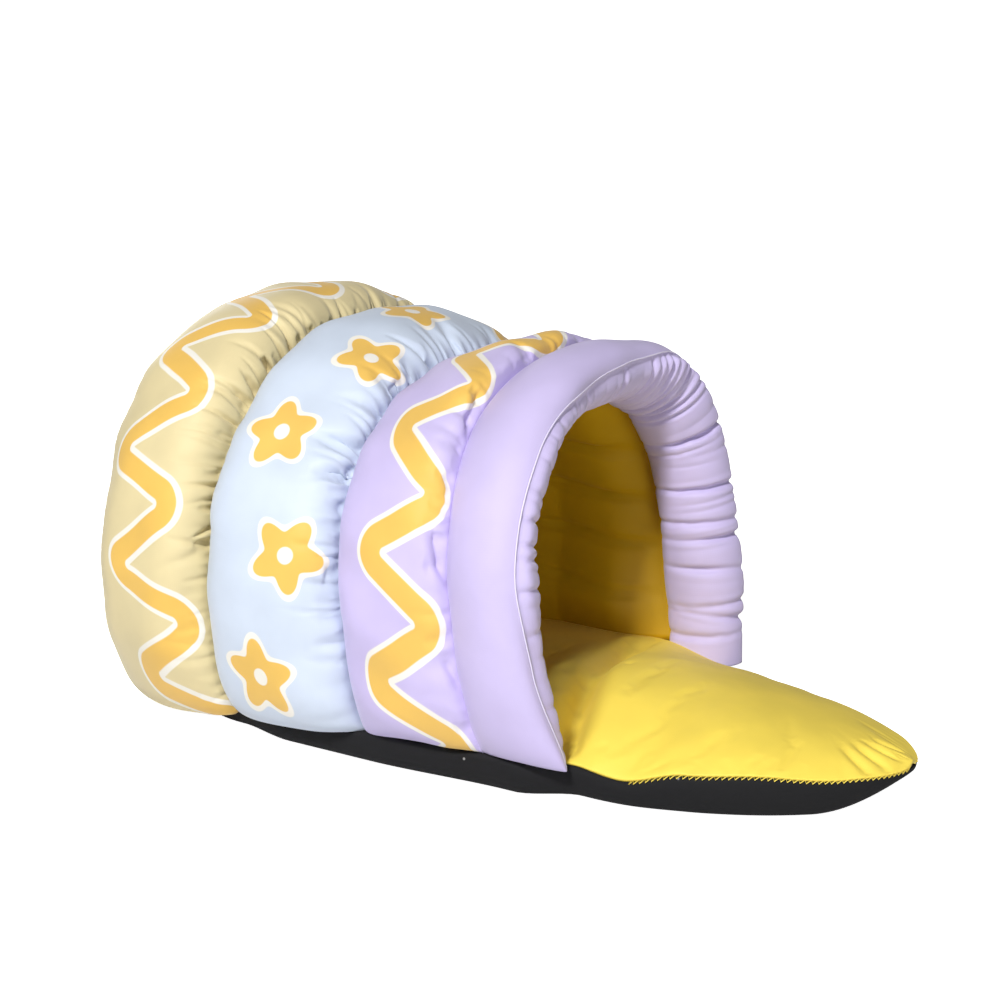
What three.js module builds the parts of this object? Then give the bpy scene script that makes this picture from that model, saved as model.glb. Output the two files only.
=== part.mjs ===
// Dog cave bed: a soft tunnel of three stuffed bands with a rolled rim round its mouth,
// standing on a stuffed floor pad whose front end runs out as a tongue.
// Millimetres, +Z up, mouth towards -Y, origin on the floor under the middle of the bed.

import * as THREE from 'three';

// Driving dimensions
const HALF_LENGTH = 346;       // from the middle to the tip of the tongue, and to the crown of the back
const WAIST_HEIGHT = 129;      // the arches are widest here
const SHOULDER = 2.4;          // squareness of the arches above the waist, 2 is a plain oval
const CLEARANCE = 0.5;         // between neighbouring pieces
const LINING_THICKNESS = 3;
const LINING_PUFF = 6;         // how far the lining swells inwards between two seams
const SEAM_THICKNESS = 4;      // the wall where a band is sewn down

// Seams of the wall from the mouth to the back: the lining's arch at each one.
// foot is the height of the base there, lean how far the arch leans back for each millimetre of height.
const SEAMS = {
  mouth: { y: -50, halfWidth: 171, top: 309, footHalfWidth: 156, foot: 31, lean: 0.15 },
  front: { y: 60, halfWidth: 171, top: 280, footHalfWidth: 160, foot: 29, lean: 0.1 },
  rear: { y: 190, halfWidth: 178, top: 300, footHalfWidth: 158, foot: 22, lean: 0.03 },
  back: { y: 318, halfWidth: 160, top: 290, footHalfWidth: 130, foot: 13, lean: -0.02 },
};
const SEAM_ORDER = ['mouth', 'front', 'rear', 'back'];

// Stuffed bands of the wall. gathers is the number of puckers along each of its seams.
const BANDS = [
  { name: 'front_band', from: 'mouth', to: 'front', puff: 25, gathers: 19, phase: 2.9, colour: 0xd5c9f2 },
  { name: 'middle_band', from: 'front', to: 'rear', puff: 40, gathers: 20, phase: 1.7, colour: 0xdbe6f6 },
  { name: 'rear_band', from: 'rear', to: 'back', puff: 50, gathers: 20, phase: 0.4, colour: 0xf0dfa6 },
];
// How the puckers wander along the seam, in shares of the arch, and how their depth changes along it
const PUCKER_DRIFTS = [
  { reach: 0.011, turns: 5.3, shift: 1 },
  { reach: 0.007, turns: 11.7, shift: 2 },
];
const PUCKER_STRENGTH = { mean: 0.7, change: 0.3, turns: 3.1, shift: 1.7 };
const GATHER_DEPTH = 5;        // how deep the puckers cut in at a seam
const GATHER_REACH = 0.7;      // share of a band's half width that the puckers run over
const BAND_SQUARENESS = 0.72;  // below 1 the band's sides stand steeper than half an oval
const FOOT_ROUNDING = 50;      // length over which a band swells up from its foot
const FOOT_SWELL = 0.2;        // share of its puff that a band has at its foot

// Rolled rim round the mouth
const RIM = {
  y: -82, halfWidth: 173, top: 311, footHalfWidth: 158, foot: 31, lean: 0.15,
  halfDepth: 31, halfThickness: 24, footThickness: 18, colour: 0xddd2f3,
};
const RIM_FOOT_SHARE = 0.16;   // share of the roll over which a foot thickens
const RIM_GATHERS = 20;
const RIM_GATHER_PHASE = 0.8;
const RIM_GATHER_DEPTH = 1.6;
// Main creases across the rim's inner side, at a share of the roll from the left foot to the right one
const RIM_CREASES = [
  { at: 0.3, depth: 3 },
  { at: 0.57, depth: 3 },
  { at: 0.63, depth: 5 },
  { at: 0.67, depth: 6 },
  { at: 0.73, depth: 4 },
  { at: 0.8, depth: 3 },
  { at: 0.88, depth: 3 },
];
const RIM_CREASE_WIDTH = 0.012; // half the width of a crease, as such a share
const RIM_CREASED_SIDE = 0.35;  // the creases reach this share of the thickness past the roll's middle

// Floor pad: half width and height of its crown over the seam, along the bed.
// The two feet of the rim squeeze it, and in front of them it spreads into the tongue.
const PAD_SECTIONS = [
  { y: -126, halfWidth: 137, rise: 36 },
  { y: -110, halfWidth: 135, rise: 36 },
  { y: -56, halfWidth: 136, rise: 32 },
  { y: 0, halfWidth: 146, rise: 20 },
  { y: 100, halfWidth: 149, rise: 19 },
  { y: 200, halfWidth: 147, rise: 21 },
  { y: 262, halfWidth: 131, rise: 21 },
];
const PAD_BACK_Y = 312;
const PAD_EDGE = 2;            // thickness of the pad's sewn edge
const PAD_CROWN = { flatness: 2, steepness: 0.85 };

// The tongue: its half width and rise shrink from its root to its tip, and it lies a little askew.
const TONGUE_TAPER = { start: 1.2, end: 0.54 };
const TONGUE_THINNING = 1.4;   // the rise shrinks faster than the width
const TONGUE_SKEW = 12;        // towards the left side
const TONGUE_LIFT = 3;         // how far its seam rises along its sides

// Dark base: half width of its seam along the bed
const BASE_SECTIONS = [
  { y: -126, halfWidth: 141 },
  { y: -75, halfWidth: 163 },
  { y: 60, halfWidth: 172 },
  { y: 140, halfWidth: 172 },
  { y: 200, halfWidth: 160 },
  { y: 262, halfWidth: 148 },
];
const BASE_BACK_Y = 329;
const BACK_ROUNDNESS = 4;      // squareness of the pad's and the base's back corners
const BASE_INSET = 22;         // how far the base draws in from its seam to the floor
const BASE_INSET_LIMIT = 0.6;  // and never more than this share of its half width
const BASE_TURN_UP = 34;       // length over which its underside turns up to the tip
const BASE_TIP_RISE = 0.9;     // share of the seam's height that the underside reaches there
// The turned-under edge: shares of the inset and of the seam height, from the seam down
const BASE_EDGE = [
  { inset: -0.12, height: 0.72 },
  { inset: 0, height: 0.4 },
  { inset: 0.3, height: 0.12 },
  { inset: 1, height: 0 },
];

// The lofts stop a little short of a point at the tip, at the back and at the top of the back panel.
const BLUNT_END = 0.6;
const PANEL_TOP_SHARE = 0.497;

// Steps of the meshes
const ARCH_STEPS = 80;         // round a band or the rim
const BAND_STEPS = 7;          // across a band's outer side
const RIM_STEPS = 10;          // round the rim's section
const LINING_STEPS = 3;        // along the bed, for each band
const LINING_ARCH_STEPS = 40;
const LENGTH_STEPS = 38;       // along the floor pad and the base
const PAD_STEPS = 10;          // across the floor pad
const PANEL_STEPS = 14;        // up the back panel
const PANEL_ACROSS = 10;

const COLOURS = { lining: 0xe9cc3a, pad: 0xf3dc5c, base: 0x262627, panel: 0xf0dfa6 };

const mix = (a, b, share) => a + (b - a) * share;
const clamp01 = (value) => Math.min(1, Math.max(0, value));
const ease = (value) => THREE.MathUtils.smoothstep(value, 0, 1);
const signedPower = (value, power) => Math.sign(value) * Math.abs(value) ** power;
const halfOval = (share, roundness) => Math.max(0, 1 - clamp01(share) ** roundness) ** (1 / roundness);
const range = (count) => Array.from({ length: count }, (_, i) => i);
// Shares from -1 to 1, closer together towards the two ends
const acrossSteps = (count) => range(count + 1).map((k) => -Math.cos((Math.PI * k) / count));

// A closed solid through rings of equal length. Its end rings are filled as seen in the two named axes.
function loft(rings, capAxes) {
  const size = rings[0].length;
  const last = rings.length - 1;
  const positions = rings.flat().flatMap((point) => point.toArray());
  const faces = [];
  for (const i of range(last)) {
    for (const k of range(size)) {
      const next = (k + 1) % size;
      const [a, b] = [i * size + k, i * size + next];
      faces.push(a, b, b + size, a, b + size, a + size);
    }
  }
  for (const [a, b, c] of capFaces(rings[0], capAxes)) {
    faces.push(c, b, a);
  }
  for (const face of capFaces(rings[last], capAxes)) {
    faces.push(...face.map((corner) => last * size + corner));
  }
  if (signedVolume(positions, faces) < 0) {
    faces.reverse();
  }
  const geometry = new THREE.BufferGeometry();
  geometry.setAttribute('position', new THREE.Float32BufferAttribute(positions, 3));
  geometry.setIndex(faces);
  geometry.computeVertexNormals();
  return geometry;
}

// Triangles that fill a ring, turning the way that the ring does.
function capFaces(ring, [across, along]) {
  const contour = ring.map((point) => new THREE.Vector2(point[across], point[along]));
  const turn = Math.sign(THREE.ShapeUtils.area(contour));
  return THREE.ShapeUtils.triangulateShape(contour, []).map(([a, b, c]) => {
    const faceTurn = Math.sign(THREE.ShapeUtils.area([contour[a], contour[b], contour[c]]));
    return faceTurn === turn ? [a, b, c] : [a, c, b];
  });
}

// Six times the volume inside a closed mesh, negative if its faces point inwards.
function signedVolume(positions, faces) {
  const corner = (i) => new THREE.Vector3().fromArray(positions, 3 * faces[i]);
  let sum = 0;
  for (let i = 0; i < faces.length; i += 3) {
    sum += corner(i).dot(corner(i + 1).cross(corner(i + 2)));
  }
  return sum;
}

// A point on an arch and its outward normal, which is level along the legs.
// along runs from 0 at the left foot to 1 at the right one.
function archAt(arch, along) {
  const foot = arch.foot + CLEARANCE;
  const drop = WAIST_HEIGHT - foot;
  const footAngle = Math.atan2(drop, arch.footHalfWidth);
  const angle = Math.PI + footAngle - along * (Math.PI + 2 * footAngle);
  const isLeg = Math.sin(angle) < 0;
  const power = isLeg ? 2 : SHOULDER;
  const legRise = drop / Math.sqrt(1 - (arch.footHalfWidth / arch.halfWidth) ** 2);
  const rise = isLeg ? legRise : arch.top - WAIST_HEIGHT;
  const across = Math.abs(Math.cos(angle) / arch.halfWidth);
  const up = Math.abs(Math.sin(angle) / rise);
  const reach = (across ** power + up ** power) ** (-1 / power);
  const x = reach * Math.cos(angle);
  const height = reach * Math.sin(angle);
  const normal = new THREE.Vector3(
    signedPower(x / arch.halfWidth, power - 1) / arch.halfWidth,
    0,
    isLeg ? 0 : (height / rise) ** (power - 1) / rise,
  ).normalize();
  const z = WAIST_HEIGHT + height;
  const point = new THREE.Vector3(x, arch.y + arch.lean * (z - foot), z);
  return { point, normal };
}

// The point at a share of the way between two seams, moved outwards from the lining.
function wallPoint(from, to, share, along, outwards) {
  const arch = {};
  for (const key of Object.keys(from)) {
    arch[key] = mix(from[key], to[key], share);
  }
  const { point, normal } = archAt(arch, along);
  return point.addScaledVector(normal, outwards);
}

// The swell of the lining's side of the wall between two seams.
const innerSwell = (share) => LINING_PUFF * Math.sin(Math.PI * share);

// Uneven puckers along an arch, from 0 on a ridge to 1 in a fold.
function pucker(along, count, phase) {
  const wave = (turns, shift) => Math.sin(2 * Math.PI * turns * along + shift);
  const drifts = PUCKER_DRIFTS.map(({ reach, turns, shift }) => reach * wave(turns, shift * phase));
  const drift = drifts.reduce((sum, value) => sum + value);
  const { mean, change, turns, shift } = PUCKER_STRENGTH;
  const strength = mean + change * wave(turns, shift * phase);
  return strength * (0.5 + 0.5 * wave(count, phase + 2 * Math.PI * count * drift));
}

// A stuffed band: a steep-sided swelling on the outside, a shallow one on the lining's side.
function bandGeometry({ from, to, puff, gathers, phase }) {
  const [first, second] = [SEAMS[from], SEAMS[to]];
  const width = second.y - first.y;
  const archLength = Math.PI * first.halfWidth + 2 * (WAIST_HEIGHT - first.foot);
  const edge = CLEARANCE / width;
  const rings = range(ARCH_STEPS + 1).map((step) => {
    const along = step / ARCH_STEPS;
    const fromFoot = Math.min(along, 1 - along) * archLength;
    const swell = mix(FOOT_SWELL, 1, halfOval(1 - fromFoot / FOOT_ROUNDING, 2));
    const dip = GATHER_DEPTH * swell * pucker(along, gathers, phase);
    const at = (share, outwards) => wallPoint(first, second, mix(edge, 1 - edge, share), along, outwards);
    const outside = range(BAND_STEPS + 1).map((k) => {
      const angle = (Math.PI * k) / BAND_STEPS;
      const side = -signedPower(Math.cos(angle), BAND_SQUARENESS);
      const height = Math.abs(Math.sin(angle)) ** BAND_SQUARENESS;
      const fold = dip * ease((Math.abs(side) - 1 + GATHER_REACH) / GATHER_REACH) * height;
      return at(0.5 + side * (0.5 - fold / width), SEAM_THICKNESS + puff * swell * height - fold);
    });
    const inside = range(LINING_STEPS + 1).map((k) => {
      const share = 1 - k / LINING_STEPS;
      return at(share, -innerSwell(share));
    });
    return [...outside, ...inside];
  });
  return loft(rings, ['x', 'y']);
}

// The rolled rim: an oval roll carried along an arch, creased on the side that faces the mouth.
function rimGeometry() {
  const rings = range(ARCH_STEPS + 1).map((step) => {
    const along = step / ARCH_STEPS;
    const { point, normal } = archAt(RIM, along);
    const fromFoot = Math.min(along, 1 - along) / RIM_FOOT_SHARE;
    const thickness = mix(RIM.footThickness, RIM.halfThickness, ease(fromFoot));
    const axis = new THREE.Vector3(0, 1, -RIM.lean * ease(fromFoot)).normalize();
    const creases = RIM_CREASES.map(({ at, depth }) => {
      const away = (along - at) / RIM_CREASE_WIDTH;
      return depth * Math.exp(-(away ** 2));
    });
    const gather = RIM_GATHER_DEPTH * pucker(along, RIM_GATHERS, RIM_GATHER_PHASE);
    const fold = gather + Math.max(...creases);
    return range(RIM_STEPS).map((k) => {
      const angle = (2 * Math.PI * k) / RIM_STEPS;
      const innerSide = clamp01(RIM_CREASED_SIDE - Math.sin(angle));
      const reach = thickness - fold * innerSide;
      return point
        .clone()
        .addScaledVector(axis, RIM.halfDepth * Math.cos(angle))
        .addScaledVector(normal, reach * Math.sin(angle));
    });
  });
  return loft(rings, ['x', 'y']);
}

// The lining: one sheet inside the three bands, swelling a little between the seams.
function liningGeometry() {
  const columns = range(SEAM_ORDER.length - 1).flatMap((i) =>
    range(LINING_STEPS).map((k) => ({ seam: i, share: k / LINING_STEPS })),
  );
  columns.push({ seam: SEAM_ORDER.length - 2, share: 1 });
  const rings = range(LINING_ARCH_STEPS + 1).map((step) => {
    const at = ({ seam, share }, depth) => {
      const [from, to] = [SEAMS[SEAM_ORDER[seam]], SEAMS[SEAM_ORDER[seam + 1]]];
      return wallPoint(from, to, share, step / LINING_ARCH_STEPS, -innerSwell(share) - depth);
    };
    const outside = columns.map((column) => at(column, CLEARANCE));
    const inside = columns.map((column) => at(column, CLEARANCE + LINING_THICKNESS)).reverse();
    return [...outside, ...inside];
  });
  return loft(rings, ['x', 'y']);
}

// A value of a table of sections at a place along the bed, eased from row to row.
function sectionAt(sections, y, key) {
  const next = sections.findIndex((row) => row.y > y);
  if (next === 0) {
    return sections[0][key];
  }
  if (next < 0) {
    return sections.at(-1)[key];
  }
  const [before, after] = [sections[next - 1], sections[next]];
  return mix(before[key], after[key], ease((y - before.y) / (after.y - before.y)));
}

// How far along the tongue a place lies, 0 at its root and 1 at its tip.
const alongTongue = (y) => clamp01((PAD_SECTIONS[0].y - y) / (HALF_LENGTH + PAD_SECTIONS[0].y));

// The tongue's width as a share of its root's.
const tongueTaper = (y) => (1 - alongTongue(y) ** TONGUE_TAPER.start) ** TONGUE_TAPER.end;

// The middle line of the pad and the base, askew along the tongue.
const middleLine = (y) => -TONGUE_SKEW * Math.sin(Math.PI * alongTongue(y));

// The back end's width as a share of the last section's.
function backRounding(sections, y, backY) {
  const start = sections.at(-1).y;
  return halfOval((y - start) / (backY - start), BACK_ROUNDNESS);
}

// Height of the seam that closes the base: level under the wall's front, falling towards the back.
function seamHeight(y) {
  const rows = SEAM_ORDER.map((name) => SEAMS[name]);
  const next = Math.max(1, rows.findIndex((row) => row.y > y));
  const [before, after] = y > rows.at(-1).y ? rows.slice(-2) : [rows[next - 1], rows[next]];
  const share = clamp01((y - before.y) / (after.y - before.y));
  return mix(before.foot, after.foot, share) + TONGUE_LIFT * Math.sin(Math.PI * alongTongue(y));
}

// Places along the bed, closer together towards the two ends, which stop a little short of a point.
function placesAlong(backY) {
  const [first, last] = [BLUNT_END - HALF_LENGTH, backY - BLUNT_END];
  return acrossSteps(LENGTH_STEPS).map((share) => mix(first, last, 0.5 + share / 2));
}

// The floor pad: flat underneath, with a crown that falls to its seam.
function padGeometry() {
  const rings = placesAlong(PAD_BACK_Y).map((y) => {
    const rounding = backRounding(PAD_SECTIONS, y, PAD_BACK_Y);
    const halfWidth = sectionAt(PAD_SECTIONS, y, 'halfWidth') * tongueTaper(y) * rounding;
    const rise = sectionAt(PAD_SECTIONS, y, 'rise') * tongueTaper(y) ** TONGUE_THINNING * rounding;
    const middle = middleLine(y);
    const bottom = seamHeight(y) + CLEARANCE;
    const top = acrossSteps(PAD_STEPS).map((share) => {
      const crown = (1 - Math.abs(share) ** PAD_CROWN.flatness) ** PAD_CROWN.steepness;
      return new THREE.Vector3(middle + share * halfWidth, y, bottom + PAD_EDGE + rise * crown);
    });
    const under = [1, -1].map((side) => new THREE.Vector3(middle + side * halfWidth, y, bottom));
    return [...top, ...under];
  });
  return loft(rings, ['x', 'z']);
}

// The dark base: its edge bulges below the seam and turns under to the floor.
function baseGeometry() {
  const rings = placesAlong(BASE_BACK_Y).map((y) => {
    const rounding = backRounding(BASE_SECTIONS, y, BASE_BACK_Y);
    const halfWidth = sectionAt(BASE_SECTIONS, y, 'halfWidth') * tongueTaper(y) * rounding;
    const middle = middleLine(y);
    const inset = Math.min(BASE_INSET, BASE_INSET_LIMIT * halfWidth);
    const seam = seamHeight(y);
    const turnUp = BASE_TIP_RISE * (1 - clamp01((y + HALF_LENGTH) / BASE_TURN_UP)) ** 2;
    const sidePoint = (side, row) => {
      const across = halfWidth - inset * row.inset;
      return new THREE.Vector3(middle + side * across, y, seam * mix(row.height, 1, turnUp));
    };
    const right = BASE_EDGE.map((row) => sidePoint(1, row));
    const left = BASE_EDGE.map((row) => sidePoint(-1, row)).reverse();
    const top = [-1, 1].map((side) => new THREE.Vector3(middle + side * halfWidth, y, seam));
    return [...top, ...right, ...left];
  });
  return loft(rings, ['x', 'z']);
}

// The back panel: it stands behind the last seam, flat on the inside and crowned on the outside.
function backPanelGeometry() {
  const arch = SEAMS.back;
  const rings = range(PANEL_STEPS + 1).map((step) => {
    const { point, normal } = archAt(arch, (PANEL_TOP_SHARE * step) / PANEL_STEPS);
    const edge = point.addScaledVector(normal, SEAM_THICKNESS);
    const inner = edge.y + CLEARANCE;
    const upward = (edge.z - WAIST_HEIGHT) / (arch.top + SEAM_THICKNESS - WAIST_HEIGHT);
    const crown = HALF_LENGTH - BLUNT_END - PAD_EDGE - inner;
    const outside = acrossSteps(PANEL_ACROSS).map((share) => {
      const swell = Math.sqrt((1 - upward ** 2) * (1 - share ** 2));
      return new THREE.Vector3(-share * edge.x, inner + PAD_EDGE + crown * swell, edge.z);
    });
    const inside = [-1, 1].map((side) => new THREE.Vector3(side * edge.x, inner, edge.z));
    return [...outside, ...inside];
  });
  return loft(rings, ['x', 'y']);
}

function cloth(colour) {
  return new THREE.MeshStandardMaterial({ color: colour, roughness: 0.75, metalness: 0 });
}

const bed = new THREE.Group();

function sew(name, geometry, colour) {
  const mesh = new THREE.Mesh(geometry, cloth(colour));
  mesh.name = name;
  bed.add(mesh);
}

BANDS.forEach((band) => sew(band.name, bandGeometry(band), band.colour));
sew('rim_roll', rimGeometry(), RIM.colour);
sew('lining', liningGeometry(), COLOURS.lining);
sew('back_panel', backPanelGeometry(), COLOURS.panel);
sew('floor_pad', padGeometry(), COLOURS.pad);
sew('base', baseGeometry(), COLOURS.base);

export default bed;
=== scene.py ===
"""Looks of a dog cave bed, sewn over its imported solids.

A soft tunnel of stuffed cloth bands with a rolled rim round its mouth, on a stuffed floor pad that runs
out in front as a tongue. The tables are in millimetres, Blender's meshes in metres, +Z is up and the
mouth faces -Y. Left is -X.
"""

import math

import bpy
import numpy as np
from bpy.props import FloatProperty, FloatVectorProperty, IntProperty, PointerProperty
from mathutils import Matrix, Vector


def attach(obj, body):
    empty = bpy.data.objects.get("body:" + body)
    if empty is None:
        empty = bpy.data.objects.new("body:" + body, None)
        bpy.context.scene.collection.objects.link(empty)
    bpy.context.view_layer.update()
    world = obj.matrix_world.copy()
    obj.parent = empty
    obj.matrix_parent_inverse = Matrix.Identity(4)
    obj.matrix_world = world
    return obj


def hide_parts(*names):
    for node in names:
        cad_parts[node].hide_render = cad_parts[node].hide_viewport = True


bl_info = {
    "name": "Dog Cave Bed",
    "version": (1, 0, 0),
    "blender": (4, 5, 0),
    "location": "3D View > Sidebar > Cave Bed",
    "description": "Sews a soft tunnel-shaped pet bed over its solids",
    "category": "Add Mesh",
}

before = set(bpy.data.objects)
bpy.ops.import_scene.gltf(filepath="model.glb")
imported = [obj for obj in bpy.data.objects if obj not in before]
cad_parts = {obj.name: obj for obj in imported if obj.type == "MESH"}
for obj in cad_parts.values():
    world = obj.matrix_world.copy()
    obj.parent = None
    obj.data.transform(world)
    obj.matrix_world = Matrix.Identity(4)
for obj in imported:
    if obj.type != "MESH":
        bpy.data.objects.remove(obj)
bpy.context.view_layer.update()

MM = 0.001
TINY = 1e-9
BODY = "root"

# Colours of the cloths, the print, the lint and the floor as sRGB hex values
COLOURS = {
    "yellow": "E2D2A2",
    "blue": "CFDAEA",
    "lilac": "CCC0EA",
    "rim": "CABEE6",
    # The rim seam's thread is paler than the rim: a stitching thread whose light colour is also a painted
    # highlight along the seam's ridge
    "rim_thread_highlight": "E6DFF6",
    # The lining's colour is the pad's yellow made darker and deeper: painted shade of the cave's dim
    # inside
    "lining": "C79D08",
    "pad": "FBDF5A",
    "base": "161618",
    "lint": "BCBCBC",
    "stripe": "EDC05E",
    "outline": "F4F0E6",
    "floor": "ECECEC",
}
WHITE = (1, 1, 1, 1)

# The wall that the solids share: its waist, the power of its squared shoulders, the gap that pieces keep,
# how far its seams stand out, half the bed's length, how blunt both ends are, and the seams as arches
# that lean back as they rise
WAIST_HEIGHT = 129
SHOULDER = 2.4
CLEARANCE = 0.5
SEAM_THICKNESS = 4
HALF_LENGTH = 346
BLUNT_END = 0.6
SEAM_COLUMNS = ("y", "half_width", "top", "foot_half_width", "foot", "lean")
SEAMS = {
    "mouth": (-50, 171, 309, 156, 31, 0.15),
    "front": (60, 171, 280, 160, 29, 0.1),
    "rear": (190, 178, 300, 158, 22, 0.03),
    "back": (318, 160, 290, 130, 13, -0.02),
}
ARCH_STEPS = 320
TRIAL_STEPS = 1500

# Stuffed bands: the seams that each lies between, how far it stands out, how far its feet draw in and
# hang below their seam, the share of its stuffing that is missing at the left shoulder, the strength of
# its gathers and the share of it that the legs keep, the pitch, depth and reach of the crimped gathers
# along its front seam, and its larger creases: two ends along and across the cloth, half width and depth
BANDS = {
    "front_band": {
        "seams": ("mouth", "front"),
        "puff": 25,
        "foot_rounding": 50,
        "droop": 0,
        "shoulder_dent": 0,
        "slot": "lilac_cloth",
        "seed": 5,
        "gather": 0.4,
        "leg_gather": 0.7,
        "crimp": {"pitch": 26, "depth": 2.4, "reach": 44},
        "creases": (
            (330, 14, 284, 2, 7, 6),
            (240, 16, 228, 2, 6, 3),
            (196, 20, 150, 2, 7, 7),
            (86, 14, 60, 2, 6, 4),
        ),
    },
    "middle_band": {
        "seams": ("front", "rear"),
        "puff": 40,
        "foot_rounding": 50,
        "droop": 5,
        "shoulder_dent": 0.25,
        "slot": "blue_cloth",
        "seed": 3,
        "gather": 1,
        "leg_gather": 0.3,
        "crimp": {"pitch": 30, "depth": 5, "reach": 58},
        "creases": (
            (480, 60, 464, 8, 7, 7),
            (394, 36, 377, 6, 6, 4),
            (316, 36, 327, 4, 8, 4),
            (262, 54, 268, 6, 9, 6),
            (232, 38, 238, 6, 6, 5),
            (219, 30, 224, 6, 5, 4),
            (168, 46, 168, 4, 3.5, 3),
            (137, 36, 131, 4, 4, 3),
            (84, 32, 81, 4, 4.5, 3),
        ),
    },
    "rear_band": {
        "seams": ("rear", "back"),
        "puff": 50,
        "foot_rounding": 70,
        "droop": 11,
        "shoulder_dent": 0,
        "slot": "pale_yellow_cloth",
        "seed": 8,
        "gather": 0.9,
        "leg_gather": 0.4,
        "crimp": {"pitch": 11.5, "depth": 5, "reach": 58},
        "creases": (),
    },
}
BAND_STEPS = 44
INSIDE_STEPS = 6
TURN_STEPS = 800
BAND_SQUARENESS = 0.72
BAND_GIVE = 14
SHOULDER_DENT_PLACE = 0.32
SHOULDER_DENT_WIDTH = 0.08
FOOT_SWELL = 0.2
DROOP_LENGTH = 60

# Gathers at the seams, with the ranges that their random sizes are drawn from, and soft creases and lumps
GATHER_REACH = 0.36
GATHER_START = 9
GATHER_SURPLUS = 1.6
GATHER_LEG_TOP = 115
GATHER_LEG_SPAN = 110
GATHER_SEED_STEP = 20
CRIMP_SEED_STEP = 40
CRIMP_HIDDEN = 22
CRIMP_NARROWING = 0.45
REAR_CRIMP = 0.12
FOLD_SHIFT = 0.42
FOLD_WIDTHS = (0.16, 0.36)
FOLD_REACHES = (0.35, 1.25)
FOLD_DEPTHS = (0.15, 1.3)
FOLD_SLANT = 0.16
FOLD_FADE = 1.4
CREASE_ENDS = (0.12, 0.88)
LUMP_WAVES = 7
LUMP_LENGTHS = (50, 140)
LUMP_HEIGHT = 0.45
LUMP_EDGE = 24

# Rolled rim: its arch and section, how its sections change along it from the left foot to the right one,
# the raised seam on its front with a groove beside it, and the folds of its ruched side
RIM_ARCH = (-82, 173, 311, 158, 31, 0.15)
RIM_STEPS = 44
RIM_HALF_DEPTH = 31
RIM_HALF_THICKNESS = 24
RIM_FOOT_THICKNESS = 18
RIM_FOOT_SHARE = 0.16
RIM_SHOULDERS = (2, 3)
RIM_OUTER = {
    "place": (0, 0.2, 0.36, 0.5, 0.58, 0.68, 0.82, 1),
    "share": (0.82, 0.8, 0.72, 0.8, 0.7, 0.66, 0.92, 1),
}
RIM_SWELL = {
    "place": (0, 0.08, 0.16, 0.25, 0.5, 0.62, 0.75, 0.92, 1),
    "height": (9, 16, 15, 11, 13, 12, 10, 14, 10),
}
RIM_FORWARD_SWELL = 0.5
RIM_SEAM = {
    "place": (0, 0.1, 0.2, 0.32, 0.44, 0.55, 0.65, 1),
    "angle": (196, 186, 154, 160, 192, 182, 148, 150),
}
RIM_PINCH = 0.3
RIM_PINCH_LENGTH = 36
RIM_OVERLAP = 4
RIM_KICK = 12
RIM_KICK_LENGTH = 80
RIM_SAG = 10
RIM_SAG_LENGTH = 60
RIM_GIVE = 10
RIM_CUT_SHARE = 0.97
RIM_SEWN_COSINE = 0.97
RIM_SEAM_HOLD = 0.3
RIM_SEAM_HEIGHT = 0.8
RIM_SEAM_WIDTH = 0.035
RIM_GROOVE_DEPTH = 1.5
RIM_GROOVE_TURN = 0.16
RIM_THREAD_RADIUS = 0.6
RIM_LUMP_SHARE = 0.5
RIM_SEED = 11
RIM_RUCHED_TURN = math.radians(192)
RIM_RUCHE_START = 0.5
RIM_RUCHE_SHARP_START = 0.25
RIM_RUCHE_END = 0.6
RIM_CREASE_PITCH = 13
RIM_CREASE_DEPTH = 1
RIM_SHARP_SHARE = 0.45
RIM_SHARPNESS = 1.8
RIM_FOLD_WIDTH = 3.2
RIM_FOLD_SLANT = 2.2
RIM_FOLD_PIVOT = 1
RIM_FOLD_MIDDLES = (0.4, 2.2)
RIM_FOLD_EXTENTS = (0.7, 1.5)
RIM_FOLDS = {
    "place": (
        *(0.14, 0.184, 0.216, 0.23, 0.256, 0.309, 0.325, 0.344, 0.369, 0.381, 0.409, 0.438, 0.513),
        *(0.578, 0.59, 0.606, 0.617, 0.629, 0.643, 0.654, 0.664, 0.676, 0.69),
        *(0.738, 0.809, 0.85, 0.869, 0.903, 0.941, 0.954, 0.97),
    ),
    "depth": (
        *(1, 2, 1.6, 1.2, 2.2, 2, 1.4, 2.5, 5, 3.5, 3.5, 4, 6),
        *(3.5, 3, 3, 4, 4.5, 5, 5, 5, 4, 3),
        *(5, 4.5, 3, 4.5, 3, 2.5, 4, 2.5),
    ),
}

# Floor pad: half width and rise of each section along the bed, its crown, and its creases as two ends in
# plan, half width and depth
PAD_SECTIONS = {
    "y": (-126, -110, -56, 0, 100, 200, 262),
    "half_width": (138, 139, 151, 152, 150, 145, 130),
    "rise": (37, 38, 36, 19, 17, 18, 18),
}
PAD_BACK_Y = 312
PAD_ROWS = 170
PAD_COLUMNS = 64
PAD_EVENNESS = 0.4
UNDER_STEPS = 4
PAD_EDGE = 2
PAD_CROWN = {"flatness": 2.6, "steepness": 0.85}
PAD_FAR_SHARE = 0.5
PAD_FAR_START = -0.35
PAD_FAR_SPAN = 1.25
PAD_CREASE_ONSET = 3
PAD_CREASES = (
    (-138, -109, -36, -70, 15, 28),
    (-56, -74, 138, -34, 15, 22),
    (-130, -160, -108, -214, 9, 3),
    (-42, -327, -32, -300, 4, 3.5),
    (-26, -334, -19, -302, 4, 4),
    (-8, -338, -8, -306, 4, 4),
    (8, -336, 2, -309, 4, 3.5),
    (-7, -95, -5, -93, 5, 2.5),
    (30, -230, 60, -150, 14, 2),
    (-60, -270, -20, -240, 12, 2),
)
PAD_SURPLUS = 1.035
PAD_GIVE = 6

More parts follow.
